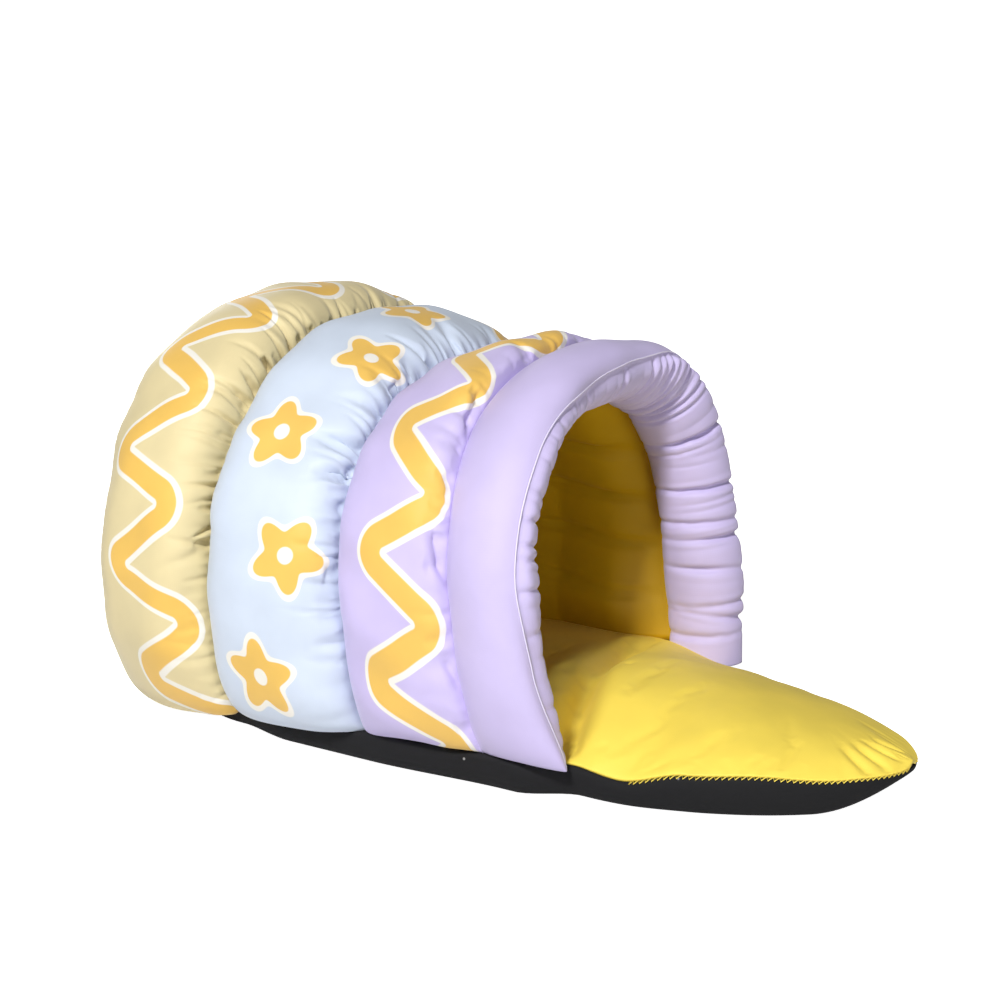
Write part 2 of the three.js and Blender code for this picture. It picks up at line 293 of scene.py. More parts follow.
# The tongue that pad and base share, and the base's sections and rolled edge
TONGUE_TAPER = {"start": 1.2, "end": 0.54}
TONGUE_THINNING = 1.4
TONGUE_SKEW = 12
TONGUE_SEAM = {
    "y": (-346, -315, -255, -210, -160, -118, -50, 10),
    "left": (-3, -1, 5, 3, -8, -3, 0, 0),
    "right": (-3, -1, 0, -3, -7, -10, -2, 0),
}
END_CROWDING = 0.75
BACK_ROUNDNESS = 4
BASE_SECTIONS = {
    "y": (-126, -75, 60, 140, 200, 262),
    "half_width": (141, 163, 172, 172, 160, 148),
}
BASE_BACK_Y = 329
BASE_ROWS = 150
BASE_EDGE_STEPS = 10
BASE_INSET = 15
BASE_INSET_LIMIT = 0.6
BASE_TURN_UP = 56
BASE_TIP_RISE = 0.9
BASE_EDGE = {"inset": (0, -0.12, 0, 0.3, 1), "height": (1, 0.72, 0.4, 0.12, 0)}

# Overlock stitches along the tongue's seam
OVERLOCK_ROWS = 600
OVERLOCK_PITCH = 5
OVERLOCK_START = -168
OVERLOCK_RADIUS = 0.5
OVERLOCK_ABOVE = 1.6
OVERLOCK_BELOW = 0.2
OVERLOCK_OUT = 1.6
THREAD_SIDES = 6

# Lining, with creases by their height on the wall, and back panel
LINING_ARCH_STEPS = 150
LINING_STEPS = 24
LINING_THICKNESS = 3
LINING_PUFF = 6
LINING_CREASES = {"height": (73, 117, 159, 206), "depth": (7, 9, 11, 9), "half_width": (3, 3, 3.5, 4)}
LINING_SLACK = 10
LINING_FOOT_SHARE = 0.05
LINING_BULGE = 16
LINING_BULGE_HEIGHT = 50
LINING_BULGE_SPAN = 48
LINING_FADE = 55
LINING_WANDER = 5
LINING_WANDER_LENGTH = 60
PANEL_ROWS = 60
PANEL_COLUMNS = 60
PANEL_TOP_SHARE = 0.497

# How the cloth gives while the stuffing presses it out
CLOTH_SETTINGS = {
    "quality": 5,
    "mass": 0.2,
    "tension_stiffness": 15,
    "compression_stiffness": 15,
    "shear_stiffness": 5,
    "bending_stiffness": 0.1,
    "use_pressure": True,
}

# The print: how far its lines wander and over what length, its white outline, the outline's shift to one
# side and the softness of its edges, then the stripes and the flowers
PRINT_WOBBLE = 9
WOBBLE_SIZE = 70
NOISE_MIDDLE = (0.5, 0.5, 0.5)
PRINT_OUTLINE = 4.6
PRINT_SHADOW = 1.2
PRINT_SOFTNESS = 0.5
STRIPES = {
    "front_band": {
        "period": 105.5,
        "phase": 8.5,
        "middle": (54, 42),
        "drift": 400,
        "reach": 27,
        "width": 20.5,
        "bend": 15,
    },
    "rear_band": {
        "period": 98.5,
        "phase": 90.5,
        "middle": (53, 89),
        "drift": 200,
        "reach": 31,
        "width": 18,
        "bend": 14,
    },
}
FLOWER_PITCH = 105
FLOWER_RADIUS = 26
FLOWER_PETALS = 5
FLOWER_WAVE = 0.24
FLOWER_STAGGER = 34
FLOWER_TURN = 0.5
FLOWER_MIDDLE = 72
FLOWER_EYE = 7
FLOWER_OUTLINE = 5.6

# Finishes as values of the shader's sockets, and the sizes of bloom, threads and lint. Blender's wave
# texture repeats after a tenth of pi at scale 1.
BRUSHED_FINISH = {"Roughness": 0.58, "Specular IOR Level": 0.35, "Sheen Roughness": 0.45}
OUTSIDE_SHEEN = 0.22
INSIDE_SHEEN = 0.04
BLOOM_SIZE = 60
BLOOM_RANGE = {"From Min": 0.3, "From Max": 0.7, "To Min": 0.93, "To Max": 1.03}
WEAVE_SIZE = 1.8
WAVE_LENGTH = math.pi / 10
BRUSHED_BUMP = {"Strength": 0.08, "Distance": 0.3 * MM}
WOVEN_FINISH = {"Roughness": 0.8, "Specular IOR Level": 0.3}
WOVEN_BUMP = {"Strength": 0.25, "Distance": 0.4 * MM}
LINT_SPACING = 26
LINT_RANGE = {"From Min": 0.03, "From Max": 0.05, "To Min": 0.5, "To Max": 0}
BOARD_ROUGHNESS = 0.9

# Stage: lights by name, place in metres, power in watts and size in metres, the strength of the sky, the
# white that floor and sky show to the camera, half the floor's width and the camera's target in metres,
# and its lens and framing
LIGHTS = (
    ("key", (-3.2, -0.71, 3.42), 202, 0.54),
    ("front", (-1.45, -1.75, 0.45), 10, 0.8),
    ("back", (1.6, 2.5, 0.7), 26, 1.2),
)
SKY_STRENGTH = 0.08
FLOOR_GLOW = 1.0
FLOOR_REACH = 12
CAMERA_TARGET = (0, 0.0165, 0.1375)
CAMERA_LENS = {"sensor_width": 36, "lens": 79.2, "shift_x": -0.02, "shift_y": 0.06}


def to_linear(colour):
    """The linear red, green and blue of an sRGB hex value."""
    share = np.array([int(colour[i : i + 2], 16) for i in (0, 2, 4)]) / 255
    return tuple(np.where(share <= 0.04045, share / 12.92, ((share + 0.055) / 1.055) ** 2.4))


def colour_property(label, key):
    """A colour that the user may change, with its default from the table of colours."""
    return FloatVectorProperty(
        name=label,
        description=f"Colour of the {label.lower()}",
        subtype="COLOR",
        size=3,
        min=0,
        max=1,
        default=to_linear(COLOURS[key]),
    )


def length_property(label, words, millimetres):
    """A length that the user may change, with its default in millimetres."""
    return FloatProperty(
        name=label, description=words, subtype="DISTANCE", unit="LENGTH", min=0, default=millimetres * MM
    )


def angle_property(label, words, degrees):
    """An angle that the user may change, with its default in degrees."""
    return FloatProperty(name=label, description=words, subtype="ANGLE", default=math.radians(degrees))


class CaveBedCloth(bpy.types.PropertyGroup):
    """Colours of the cloths and of the print on them."""

    yellow: colour_property("Rear band", "yellow")
    blue: colour_property("Middle band", "blue")
    lilac: colour_property("Front band", "lilac")
    rim: colour_property("Rim", "rim")
    # A stitching thread, paled as a painted highlight along the rim's seam
    rim_thread_highlight: colour_property("Rim seam", "rim_thread_highlight")
    # The lining's colour holds painted shade: it is darkened for the cave's inside
    lining: colour_property("Lining", "lining")
    pad: colour_property("Floor pad", "pad")
    base: colour_property("Base", "base")
    stripe: colour_property("Printed stripe", "stripe")
    outline: colour_property("Printed outline", "outline")
    stripe_scale: FloatProperty(
        name="Stripe scale",
        description="Width of the wavy stripes as a share of the usual",
        min=0,
        default=1,
    )


class CaveBedStuffing(bpy.types.PropertyGroup):
    """How full the stuffed pieces are and how their seams gather."""

    pressure: FloatProperty(
        name="Pressure", description="Pressure of the stuffing on the cloth", min=0, default=4
    )
    frames: IntProperty(
        name="Frames", description="Steps that the cloth takes to settle", min=2, default=20
    )
    gather_depth: length_property("Gather depth", "Depth of the gathers at a seam", 6)
    gather_pitch: length_property("Gather pitch", "Mean distance between two gathers", 13)


class CaveBedStage(bpy.types.PropertyGroup):
    """Where the camera stands and what the floor looks like."""

    azimuth: angle_property("Azimuth", "Turn of the camera round the bed", -58)
    elevation: angle_property("Elevation", "Angle of the camera above the floor", 17.5)
    distance: length_property("Distance", "Distance from the camera to its target", 1870)
    floor: colour_property("Floor", "floor")


# Shapes


def mix(first, second, share):
    """The value at a share of the way from the first to the second."""
    return first + (second - first) * share


def ease(value):
    """0 below 0, 1 above 1 and a smooth step between them."""
    share = np.clip(value, 0, 1)
    return share * share * (3 - 2 * share)


def bell(value):
    """A smooth hump that is 1 at 0 and nearly 0 past 2."""
    return np.exp(-(value**2))


def eased(table, column, at):
    """Values of a table's column, eased between the places that its first column gives."""
    places = np.array(next(iter(table.values())), float)
    values = np.array(table[column], float)
    before = np.clip(np.searchsorted(places, at, side="right") - 1, 0, len(places) - 2)
    share = (at - places[before]) / (places[before + 1] - places[before])
    return mix(values[before], values[before + 1], ease(share))


def signed_power(value, power):
    """The power of a value's size, with the value's sign."""
    return np.sign(value) * np.abs(value) ** power


def half_oval(share, roundness):
    """Height of a half oval that is 1 at share 0 and 0 at share 1."""
    return np.maximum(0, 1 - np.clip(share, 0, 1) ** roundness) ** (1 / roundness)


def joined(*coordinates):
    """Coordinates put together as points, each spread over the grid that they span."""
    return np.stack(np.broadcast_arrays(*coordinates), axis=-1)


def unit(vectors):
    """Vectors of length 1 in the same directions."""
    return vectors / np.maximum(np.linalg.norm(vectors, axis=-1, keepdims=True), TINY)


def seam(name):
    """A seam's sizes by name."""
    return dict(zip(SEAM_COLUMNS, SEAMS[name]))


def arch_between(first, second, share):
    """The arch at a share of the way between two arches."""
    return {key: mix(first[key], second[key], share) for key in SEAM_COLUMNS}


def arch_points(arch, along, shoulders=(SHOULDER, SHOULDER)):
    """Points of an arch and its outward normals there.

    Above the waist the arch is a squared oval, below it each leg is part of a plain oval with level
    normals. along runs from 0 at the left foot to 1 at the right one, evenly in the angle from the
    middle of the waist, and the arch leans back as it rises. shoulders are the oval's powers on the left
    and on the right, where 2 is round and more is squarer.
    """
    foot = arch["foot"] + CLEARANCE
    drop = WAIST_HEIGHT - foot
    foot_angle = np.arctan2(drop, arch["foot_half_width"])
    angle = np.pi + foot_angle - along * (np.pi + 2 * foot_angle)
    is_leg = np.sin(angle) < 0
    power = np.where(is_leg, 2, np.where(np.cos(angle) < 0, *shoulders))
    leg_rise = drop / np.sqrt(1 - (arch["foot_half_width"] / arch["half_width"]) ** 2)
    rise = np.where(is_leg, leg_rise, arch["top"] - WAIST_HEIGHT)
    across = np.abs(np.cos(angle) / arch["half_width"])
    up = np.abs(np.sin(angle) / rise)
    reach = (across**power + up**power) ** (-1 / power)
    x = reach * np.cos(angle)
    height = reach * np.sin(angle)
    z = WAIST_HEIGHT + height
    y = arch["y"] + arch["lean"] * (z - foot)
    normal_x = signed_power(x / arch["half_width"], power - 1) / arch["half_width"]
    normal_z = np.where(is_leg, 0, np.abs(height / rise) ** (power - 1) / rise)
    size = np.hypot(normal_x, normal_z)
    return joined(x, y, z), joined(normal_x / size, 0, normal_z / size)


def running_length(points):
    """Distance along a line of points, from 0 at the first one."""
    steps = np.linalg.norm(np.diff(points, axis=0), axis=1)
    return np.concatenate([[0], np.cumsum(steps)])


def even_steps(values, points, count):
    """Values whose points lie equally far apart along a line, and the distances of those points."""
    length = running_length(points)
    places = np.linspace(0, length[-1], count + 1)
    return np.interp(places, length, values), places


def grid_normals(points):
    """Unit normals of a grid of points, from the cross product of its two directions."""
    return unit(np.cross(np.gradient(points, axis=0), np.gradient(points, axis=1)))


def doubled(grid, axis):
    """A grid with twice as many steps along an axis, smoothed by the four-point rule.

    Each new point is nine sixteenths of both its neighbours less one sixteenth of the next ones.
    """
    rows = np.moveaxis(grid, axis, 0)
    before = np.concatenate([2 * rows[:1] - rows[1:2], rows[:-2]])
    after = np.concatenate([rows[2:], 2 * rows[-1:] - rows[-2:-1]])
    finer = np.empty((2 * len(rows) - 1, *rows.shape[1:]))
    finer[::2] = rows
    finer[1::2] = (9 * (rows[:-1] + rows[1:]) - before - after) / 16
    return np.moveaxis(finer, 0, axis)


def refined(grid, columns):
    """The outer face of a grid of rings, doubled both ways, and the hidden side, doubled along it."""
    face, hidden = np.split(doubled(grid, 0), [columns + 1], axis=1)
    return doubled(face, 1), hidden


def seam_folds(seed, length, pitch, reach, depth):
    """A table of uneven gathers along a seam: where each lies, how wide, long, deep and slanted it is."""
    draw = np.random.default_rng(seed)
    count = int(length / pitch)
    places = (np.arange(count) + draw.uniform(-FOLD_SHIFT, FOLD_SHIFT, count)) * length / count
    return {
        "place": places,
        "half_width": pitch * draw.uniform(*FOLD_WIDTHS, count),
        "reach": reach * draw.uniform(*FOLD_REACHES, count),
        "depth": depth * draw.uniform(*FOLD_DEPTHS, count),
        "slant": draw.normal(0, FOLD_SLANT, count),
    }


def fold_depth(folds, along, from_seam):
    """Depth of the gathers at each point: troughs across the seam that fade with the distance from it."""
    distance = from_seam[..., None]
    away = (along[..., None] - folds["place"] - folds["slant"] * distance) / folds["half_width"]
    fade = np.clip(1 - distance / folds["reach"], 0, 1) ** FOLD_FADE
    return (folds["depth"] * bell(away) * fade).sum(axis=-1)


def crimp_depth(folds, along, from_seam):
    """Depth of crimped gathers: wedges that stay deep where the next band hides them, then taper out."""
    depth = np.zeros(np.broadcast(along, from_seam).shape)
    for place, half_width, reach, deep, slant in zip(*folds.values()):
        fade = np.clip((reach - from_seam) / max(reach - CRIMP_HIDDEN, 1), 0, 1)
        away = (along - place - slant * from_seam) / (half_width * mix(CRIMP_NARROWING, 1, fade))
        depth += deep * bell(away) * fade
    return depth * ease(from_seam / GATHER_START)


def creases_at(creases, x, y):
    """Depth of soft troughs, each along a stroke between its two ends and deepest in its middle."""
    depth = np.zeros(np.broadcast(x, y).shape)
    for x0, y0, x1, y1, half_width, deep in creases:
        run_x, run_y = x1 - x0, y1 - y0
        share = np.clip(((x - x0) * run_x + (y - y0) * run_y) / (run_x**2 + run_y**2), 0, 1)
        apart = np.hypot(x - x0 - share * run_x, y - y0 - share * run_y)
        swing = np.sin(np.pi * mix(*CREASE_ENDS, share))
        depth = depth + deep * bell(apart / half_width) * swing
    return depth


def lumps(along, across, seed):
    """Soft unevenness of loose stuffing: crossing waves of random direction, length and phase."""
    draw = np.random.default_rng(seed)
    turns = draw.uniform(0, np.pi, LUMP_WAVES)
    lengths = draw.uniform(*LUMP_LENGTHS, LUMP_WAVES)
    starts = draw.uniform(0, 2 * np.pi, LUMP_WAVES)
    height = np.zeros(np.broadcast(along, across).shape)
    for turn, length, start in zip(turns, lengths, starts):
        place = along * np.cos(turn) + across * np.sin(turn)
        height += np.sin(2 * np.pi * place / length + start)
    return LUMP_HEIGHT * height


# Meshes


def make_piece(name, points, pattern, material):
    """A smooth closed mesh of rings of points in millimetres, with pattern as its UV map in metres.

    Each row of the grid is a closed ring, and the first and the last ring are filled.
    """
    rows, columns = points.shape[:2]
    index = np.arange(rows * columns).reshape(rows, columns)
    lids = [index[0, ::-1].tolist(), index[-1].tolist()]
    index = np.concatenate([index, index[:, :1]], axis=1)
    corners = (index[:-1, :-1], index[:-1, 1:], index[1:, 1:], index[1:, :-1])
    quads = np.stack(corners, axis=-1).reshape(-1, 4)
    mesh = bpy.data.meshes.new(name)
    mesh.from_pydata(points.reshape(-1, 3) * MM, [], quads.tolist() + lids)
    layer = mesh.uv_layers.new(name="cloth")
    vertex_of_corner = np.empty(len(mesh.loops), np.int32)
    mesh.loops.foreach_get("vertex_index", vertex_of_corner)
    flat = (pattern.reshape(-1, 2) * MM)[vertex_of_corner]
    layer.uv.foreach_set("vector", flat.astype(np.float32).ravel())
    mesh.shade_smooth()
    mesh.materials.append(material)
    mesh.validate()
    piece = bpy.data.objects.new(name, mesh)
    bpy.context.scene.collection.objects.link(piece)
    face_outwards(mesh)
    return piece


def face_outwards(mesh):
    """Turns a closed mesh's faces round if they point inwards, judged by its signed volume."""
    mesh.calc_loop_triangles()
    corners = np.empty(len(mesh.loop_triangles) * 3, np.int32)
    mesh.loop_triangles.foreach_get("vertices", corners)
    triangles = vertex_places(mesh)[corners].reshape(-1, 3, 3)
    volume = np.einsum("ij,ij->i", triangles[:, 0], np.cross(triangles[:, 1], triangles[:, 2])).sum()
    if volume < 0:
        mesh.flip_normals()


def vertex_places(mesh):
    """The places of a mesh's vertices as an array."""
    places = np.empty(len(mesh.vertices) * 3, np.float32)
    mesh.vertices.foreach_get("co", places)
    return places.reshape(-1, 3)


def settle(rings, hold, cut, reach, stuffing):
    """Rings of a stuffed piece after the stuffing has pressed its cloth out, in millimetres.

    hold is how firmly each point is sewn down, from 0 to 1, and cut the shape that the cloth was cut to.
    No point ends further than reach from where it started.
    """
    scene = bpy.context.scene
    piece = make_piece("settling", rings, np.zeros((*rings.shape[:2], 2)), None)
    group = piece.vertex_groups.new(name="sewn")
    hold = hold.ravel()
    for weight in np.unique(hold[hold > 0]):
        group.add(np.flatnonzero(hold == weight).tolist(), float(weight), "REPLACE")
    piece.shape_key_add(name="sewn up")
    flat = piece.shape_key_add(name="cut")
    flat.data.foreach_set("co", (cut * MM).astype(np.float32).ravel())
    cloth = piece.modifiers.new("Stuffing", "CLOTH")
    settings = cloth.settings
    settings.rest_shape_key = flat
    settings.vertex_group_mass = group.name
    for key, value in CLOTH_SETTINGS.items():
        setattr(settings, key, value)
    settings.uniform_pressure_force = stuffing.pressure
    settings.effector_weights.gravity = 0
    cloth.collision_settings.use_collision = False
    cloth.point_cache.frame_start = 1
    cloth.point_cache.frame_end = stuffing.frames
    for number in range(1, stuffing.frames + 1):
        scene.frame_set(number)
    settled = piece.evaluated_get(bpy.context.evaluated_depsgraph_get())
    moved = vertex_places(settled.data).reshape(rings.shape) / MM - rings
    mesh = piece.data
    bpy.data.objects.remove(piece)
    bpy.data.meshes.remove(mesh)
    scene.frame_set(1)
    distance = np.linalg.norm(moved, axis=-1, keepdims=True)
    return rings + moved * np.minimum(1, reach / np.maximum(distance, TINY))


def finish_piece(piece, nodes=()):
    """Lets a piece ride on the bed's body and hides the imported parts that it stands for."""
    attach(piece, BODY)
    if nodes:
        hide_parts(*nodes)


# Materials


def fill_sockets(tree, node, inputs):
    """Sets or links a node's inputs, given in the order of its sockets or as a table by socket.

    An input is a value, a socket, or a node whose first output in use is linked.
    """
    for key, value in inputs.items() if isinstance(inputs, dict) else enumerate(inputs):
        if isinstance(value, bpy.types.Node):
            value = next(socket for socket in value.outputs if socket.enabled)
        if isinstance(value, bpy.types.NodeSocket):
            tree.links.new(value, node.inputs[key])
        else:
            node.inputs[key].default_value = value


def add_node(tree, kind, inputs=(), **settings):
    """Adds a shader node with its settings and inputs."""
    node = tree.nodes.new("ShaderNode" + kind)
    for key, value in settings.items():
        setattr(node, key, value)
    fill_sockets(tree, node, inputs)
    return node


def new_material(name):
    """A new material, its node tree and its shader."""
    material = bpy.data.materials.new(name)
    material.use_nodes = True
    return material, material.node_tree, material.node_tree.nodes["Principled BSDF"]


def zigzag_distance(tree, along, across, layout):
    """Distance in millimetres from a zigzag line, whose turns lie reach to either side of across 0.

    The line is a run of straight strokes joined by arcs of the layout's bend. It is folded onto half of
    one stroke, by a triangle wave and then by half a turn about the stroke's middle. Past the stroke's
    end the distance is taken to the arc. A bend of half the stripe's width makes inner corners sharp.
    """
    half, reach, bend = layout["period"] / 2, layout["reach"], layout["bend"]
    pin = Vector((half / 2, reach - bend, 0))
    slope = math.atan2(pin.y, pin.x) + math.asin(bend / pin.length)
    stroke = Vector((math.cos(slope), math.sin(slope), 0))
    beside = Vector((math.sin(slope), -math.cos(slope), 0))
    folded = add_node(tree, "Math", (along, half), operation="PINGPONG")
    centred = add_node(tree, "Math", (folded, half / 2), operation="SUBTRACT")
    place = add_node(tree, "CombineXYZ", (centred, across))
    run = add_node(tree, "VectorMath", (place, stroke), operation="DOT_PRODUCT")
    end = add_node(tree, "Math", (run,), operation="SIGN")
    turned = add_node(tree, "VectorMath", {0: place, "Scale": end}, operation="SCALE")
    off_line = add_node(tree, "VectorMath", (turned, beside), operation="DOT_PRODUCT")
    off_pin = add_node(tree, "VectorMath", (turned, pin), operation="DISTANCE")
    off_arc = add_node(tree, "Math", (off_pin, bend), operation="SUBTRACT")
    passed = add_node(tree, "Math", (run,), operation="ABSOLUTE")
    on_arc = add_node(tree, "Math", (passed, pin.dot(stroke)), operation="GREATER_THAN")
    apart = add_node(tree, "Mix", {0: on_arc, 2: off_line, 3: off_arc})
    return add_node(tree, "Math", (apart,), operation="ABSOLUTE")


def flower_distance(tree, along, across):
    """Distance in millimetres outside the flowers of a staggered row, and from their middles.

    The row is cut into cells with one flower each. A flower's edge is its radius plus a cosine of the
    angle times its petals, and each flower is turned further than the one before.
    """
    steps = add_node(tree, "Math", (along, FLOWER_PITCH), operation="DIVIDE")
    number = add_node(tree, "Math", (steps,), operation="FLOOR")
    odd = add_node(tree, "Math", (number, 1), operation="PINGPONG")
    middle = add_node(tree, "Math", (number, 0.5), operation="ADD")
    place = add_node(tree, "Math", (middle, FLOWER_PITCH), operation="MULTIPLY")
    x = add_node(tree, "Math", (along, place), operation="SUBTRACT")
    shift = add_node(tree, "Math", (odd, FLOWER_STAGGER, across), operation="MULTIPLY_ADD")
    y = add_node(tree, "Math", (shift, FLOWER_STAGGER / 2), operation="SUBTRACT")
    angle = add_node(tree, "Math", (y, x), operation="ARCTAN2")
    turned = add_node(tree, "Math", (number, FLOWER_TURN, angle), operation="MULTIPLY_ADD")
    petals = add_node(tree, "Math", (turned, FLOWER_PETALS), operation="MULTIPLY")
    wave = add_node(tree, "Math", (petals,), operation="COSINE")
    sizes = (wave, FLOWER_RADIUS * FLOWER_WAVE, FLOWER_RADIUS)
    edge = add_node(tree, "Math", sizes, operation="MULTIPLY_ADD")
    flat = add_node(tree, "CombineXYZ", (x, y))
    far = add_node(tree, "VectorMath", (flat,), operation="LENGTH")
    return add_node(tree, "Math", (far, edge), operation="SUBTRACT"), far


def painted(tree, below, colour, distance, width):
    """Lays a colour over another one where a distance is under a width, with a soft thread-wide edge."""
    limits = {"From Min": width - PRINT_SOFTNESS, "From Max": width + PRINT_SOFTNESS}
    inside = add_node(tree, "MapRange", {"Value": distance, **limits, "To Min": 1, "To Max": 0})
    return add_node(tree, "Mix", {0: inside, 6: below, 7: (*colour, 1)}, data_type="RGBA")


def wandering(tree, flat):
    """Places along and across the cloth that stray a little, as a hand-drawn line does."""
    drift = add_node(tree, "TexNoise", {"Vector": flat, "Scale": 1 / WOBBLE_SIZE, "Detail": 1})
    centred = add_node(tree, "VectorMath", (drift.outputs["Color"], NOISE_MIDDLE), operation="SUBTRACT")
    wobble = (PRINT_WOBBLE, PRINT_WOBBLE, 0)
    moved = add_node(tree, "VectorMath", (centred, wobble, flat), operation="MULTIPLY_ADD")
    return add_node(tree, "SeparateXYZ", (moved,)).outputs[:2]


def brushed_cloth(name, colour, printed=None, sheen=OUTSIDE_SHEEN):
    """Brushed polyester: a close smooth weave with a faint bloom and a soft sheen on its edges.

    The threads are 0.3 mm apart, too fine to show, and are drawn WEAVE_SIZE apart. printed adds the
    print to the cloth's colour, which for the lining is darkened as painted shade and for the rim's
    seam thread is paled as a painted highlight.
    """
    material, tree, shader = new_material(name)
    pattern = add_node(tree, "UVMap", uv_map="cloth")
    flat = add_node(tree, "VectorMath", {0: pattern, "Scale": 1 / MM}, operation="SCALE")
    bloom = add_node(tree, "TexNoise", {"Vector": flat, "Scale": 1 / BLOOM_SIZE, "Detail": 3})
    shade = add_node(tree, "MapRange", {"Value": bloom, **BLOOM_RANGE})
    cloth_colour = (*colour, 1)
    if printed is not None:
        cloth_colour = printed(tree, cloth_colour, *wandering(tree, flat))
    tinted = add_node(tree, "Mix", {0: 1, 6: cloth_colour, 7: shade}, data_type="RGBA", blend_type="MULTIPLY")
    spacing = {"Vector": flat, "Scale": WAVE_LENGTH / WEAVE_SIZE}
    threads = [add_node(tree, "TexWave", spacing, bands_direction=way) for way in ("X", "Y")]
    weave = add_node(tree, "Math", threads, operation="MULTIPLY")
    fine = add_node(tree, "Bump", {"Height": weave, **BRUSHED_BUMP})
    fill_sockets(tree, shader, {"Base Color": tinted, "Normal": fine, "Sheen Weight": sheen})
    fill_sockets(tree, shader, BRUSHED_FINISH)
    return material


def stripe_print(cloth, layout):
    """A wavy stripe with a white outline that shows more on one side, drifting across along the leg."""

    def printed(tree, cloth_colour, along, across):
        first, last = layout["middle"]
        limits = {"Value": along, "From Max": layout["drift"], "To Min": first, "To Max": last}
        drift = add_node(tree, "MapRange", limits, interpolation_type="SMOOTHSTEP")
        start = add_node(tree, "Math", (along, layout["phase"]), operation="SUBTRACT")
        middle = add_node(tree, "Math", (across, drift), operation="SUBTRACT")
        aside = add_node(tree, "Math", (middle, PRINT_SHADOW), operation="ADD")
        half = cloth.stripe_scale * layout["width"] / 2
        white = zigzag_distance(tree, start, aside, layout)
        orange = zigzag_distance(tree, start, middle, layout)
        outlined = painted(tree, cloth_colour, cloth.outline, white, half + PRINT_OUTLINE)
        return painted(tree, outlined, cloth.stripe, orange, half)

    return printed


def flower_print(cloth):
    """Plain five-petalled flowers with white outlines and white middles, in a staggered row."""

    def printed(tree, cloth_colour, along, across):
        middle = add_node(tree, "Math", (across, FLOWER_MIDDLE), operation="SUBTRACT")
        edge, far = flower_distance(tree, along, middle)
        outlined = painted(tree, cloth_colour, cloth.outline, edge, FLOWER_OUTLINE)
        petals = painted(tree, outlined, cloth.stripe, edge, 0)
        return painted(tree, petals, cloth.outline, far, FLOWER_EYE)

    return printed


def base_cloth(name, colour):
    """Matt woven non-slip cloth: near black, with a coarse weave and a little pale lint."""
    material, tree, shader = new_material(name)
    places = add_node(tree, "TexCoord").outputs["Object"]
    flat = add_node(tree, "VectorMath", {0: places, "Scale": 1 / MM}, operation="SCALE")
    lint = add_node(tree, "TexVoronoi", {"Vector": flat, "Scale": 1 / LINT_SPACING})
    speck = add_node(tree, "MapRange", {"Value": lint, **LINT_RANGE})
    pale = (*to_linear(COLOURS["lint"]), 1)
    tinted = add_node(tree, "Mix", {0: speck, 6: (*colour, 1), 7: pale}, data_type="RGBA")
    grain = add_node(tree, "TexNoise", {"Vector": flat, "Scale": 1 / WEAVE_SIZE, "Detail": 2})
    fine = add_node(tree, "Bump", {"Height": grain, **WOVEN_BUMP})
    fill_sockets(tree, shader, {"Base Color": tinted, "Normal": fine, **WOVEN_FINISH})
    return material


def studio_floor(name, colour):
    """Matt painted board that shows white to the camera and throws back its usual light elsewhere."""
    material, tree, shader = new_material(name)
    rays = add_node(tree, "LightPath").outputs["Is Camera Ray"]
    glow = add_node(tree, "Math", (rays, FLOOR_GLOW), operation="MULTIPLY")
    fill_sockets(tree, shader, {"Base Color": (*colour, 1), "Roughness": BOARD_ROUGHNESS})
    fill_sockets(tree, shader, {"Emission Color": WHITE, "Emission Strength": glow})
    return material


# Pieces


def band_profile(width, puff):
    """Steps of equal length over a band from seam to seam, on a half oval with steep sides.

    Gives how far aside each step lies, from -1 to 1, its height as a share of the puff, and its distance
    from the front seam along the cloth.
    """
    turn = np.linspace(0, np.pi, TURN_STEPS + 1)
    swing = -signed_power(np.cos(turn), BAND_SQUARENESS) * width / 2
    bulge = puff * np.sin(turn) ** BAND_SQUARENESS
    turn, across = even_steps(turn, joined(swing, bulge), BAND_STEPS)
    side = -signed_power(np.cos(turn), BAND_SQUARENESS)
    return side, np.maximum(np.sin(turn), 0) ** BAND_SQUARENESS, across


def band_gathers(band, stuffing, run, across):
    """Depth of the gathers of a band's cloth along both its seams, mild along the rear one."""
    run_grid, across_grid = np.meshgrid(run, across, indexing="ij")
    pitch = stuffing.gather_pitch / MM
    depth = stuffing.gather_depth / MM * band["gather"]
    dips = np.zeros(run_grid.shape)
    for number, from_seam in enumerate((across_grid, across[-1] - across_grid)):
        seed = band["seed"] + GATHER_SEED_STEP * number
        folds = seam_folds(seed, run[-1], pitch, GATHER_REACH * across[-1], depth)
        strength = REAR_CRIMP if number else 1
        dips += strength * fold_depth(folds, run_grid, from_seam) * ease(from_seam / GATHER_START)
    return dips


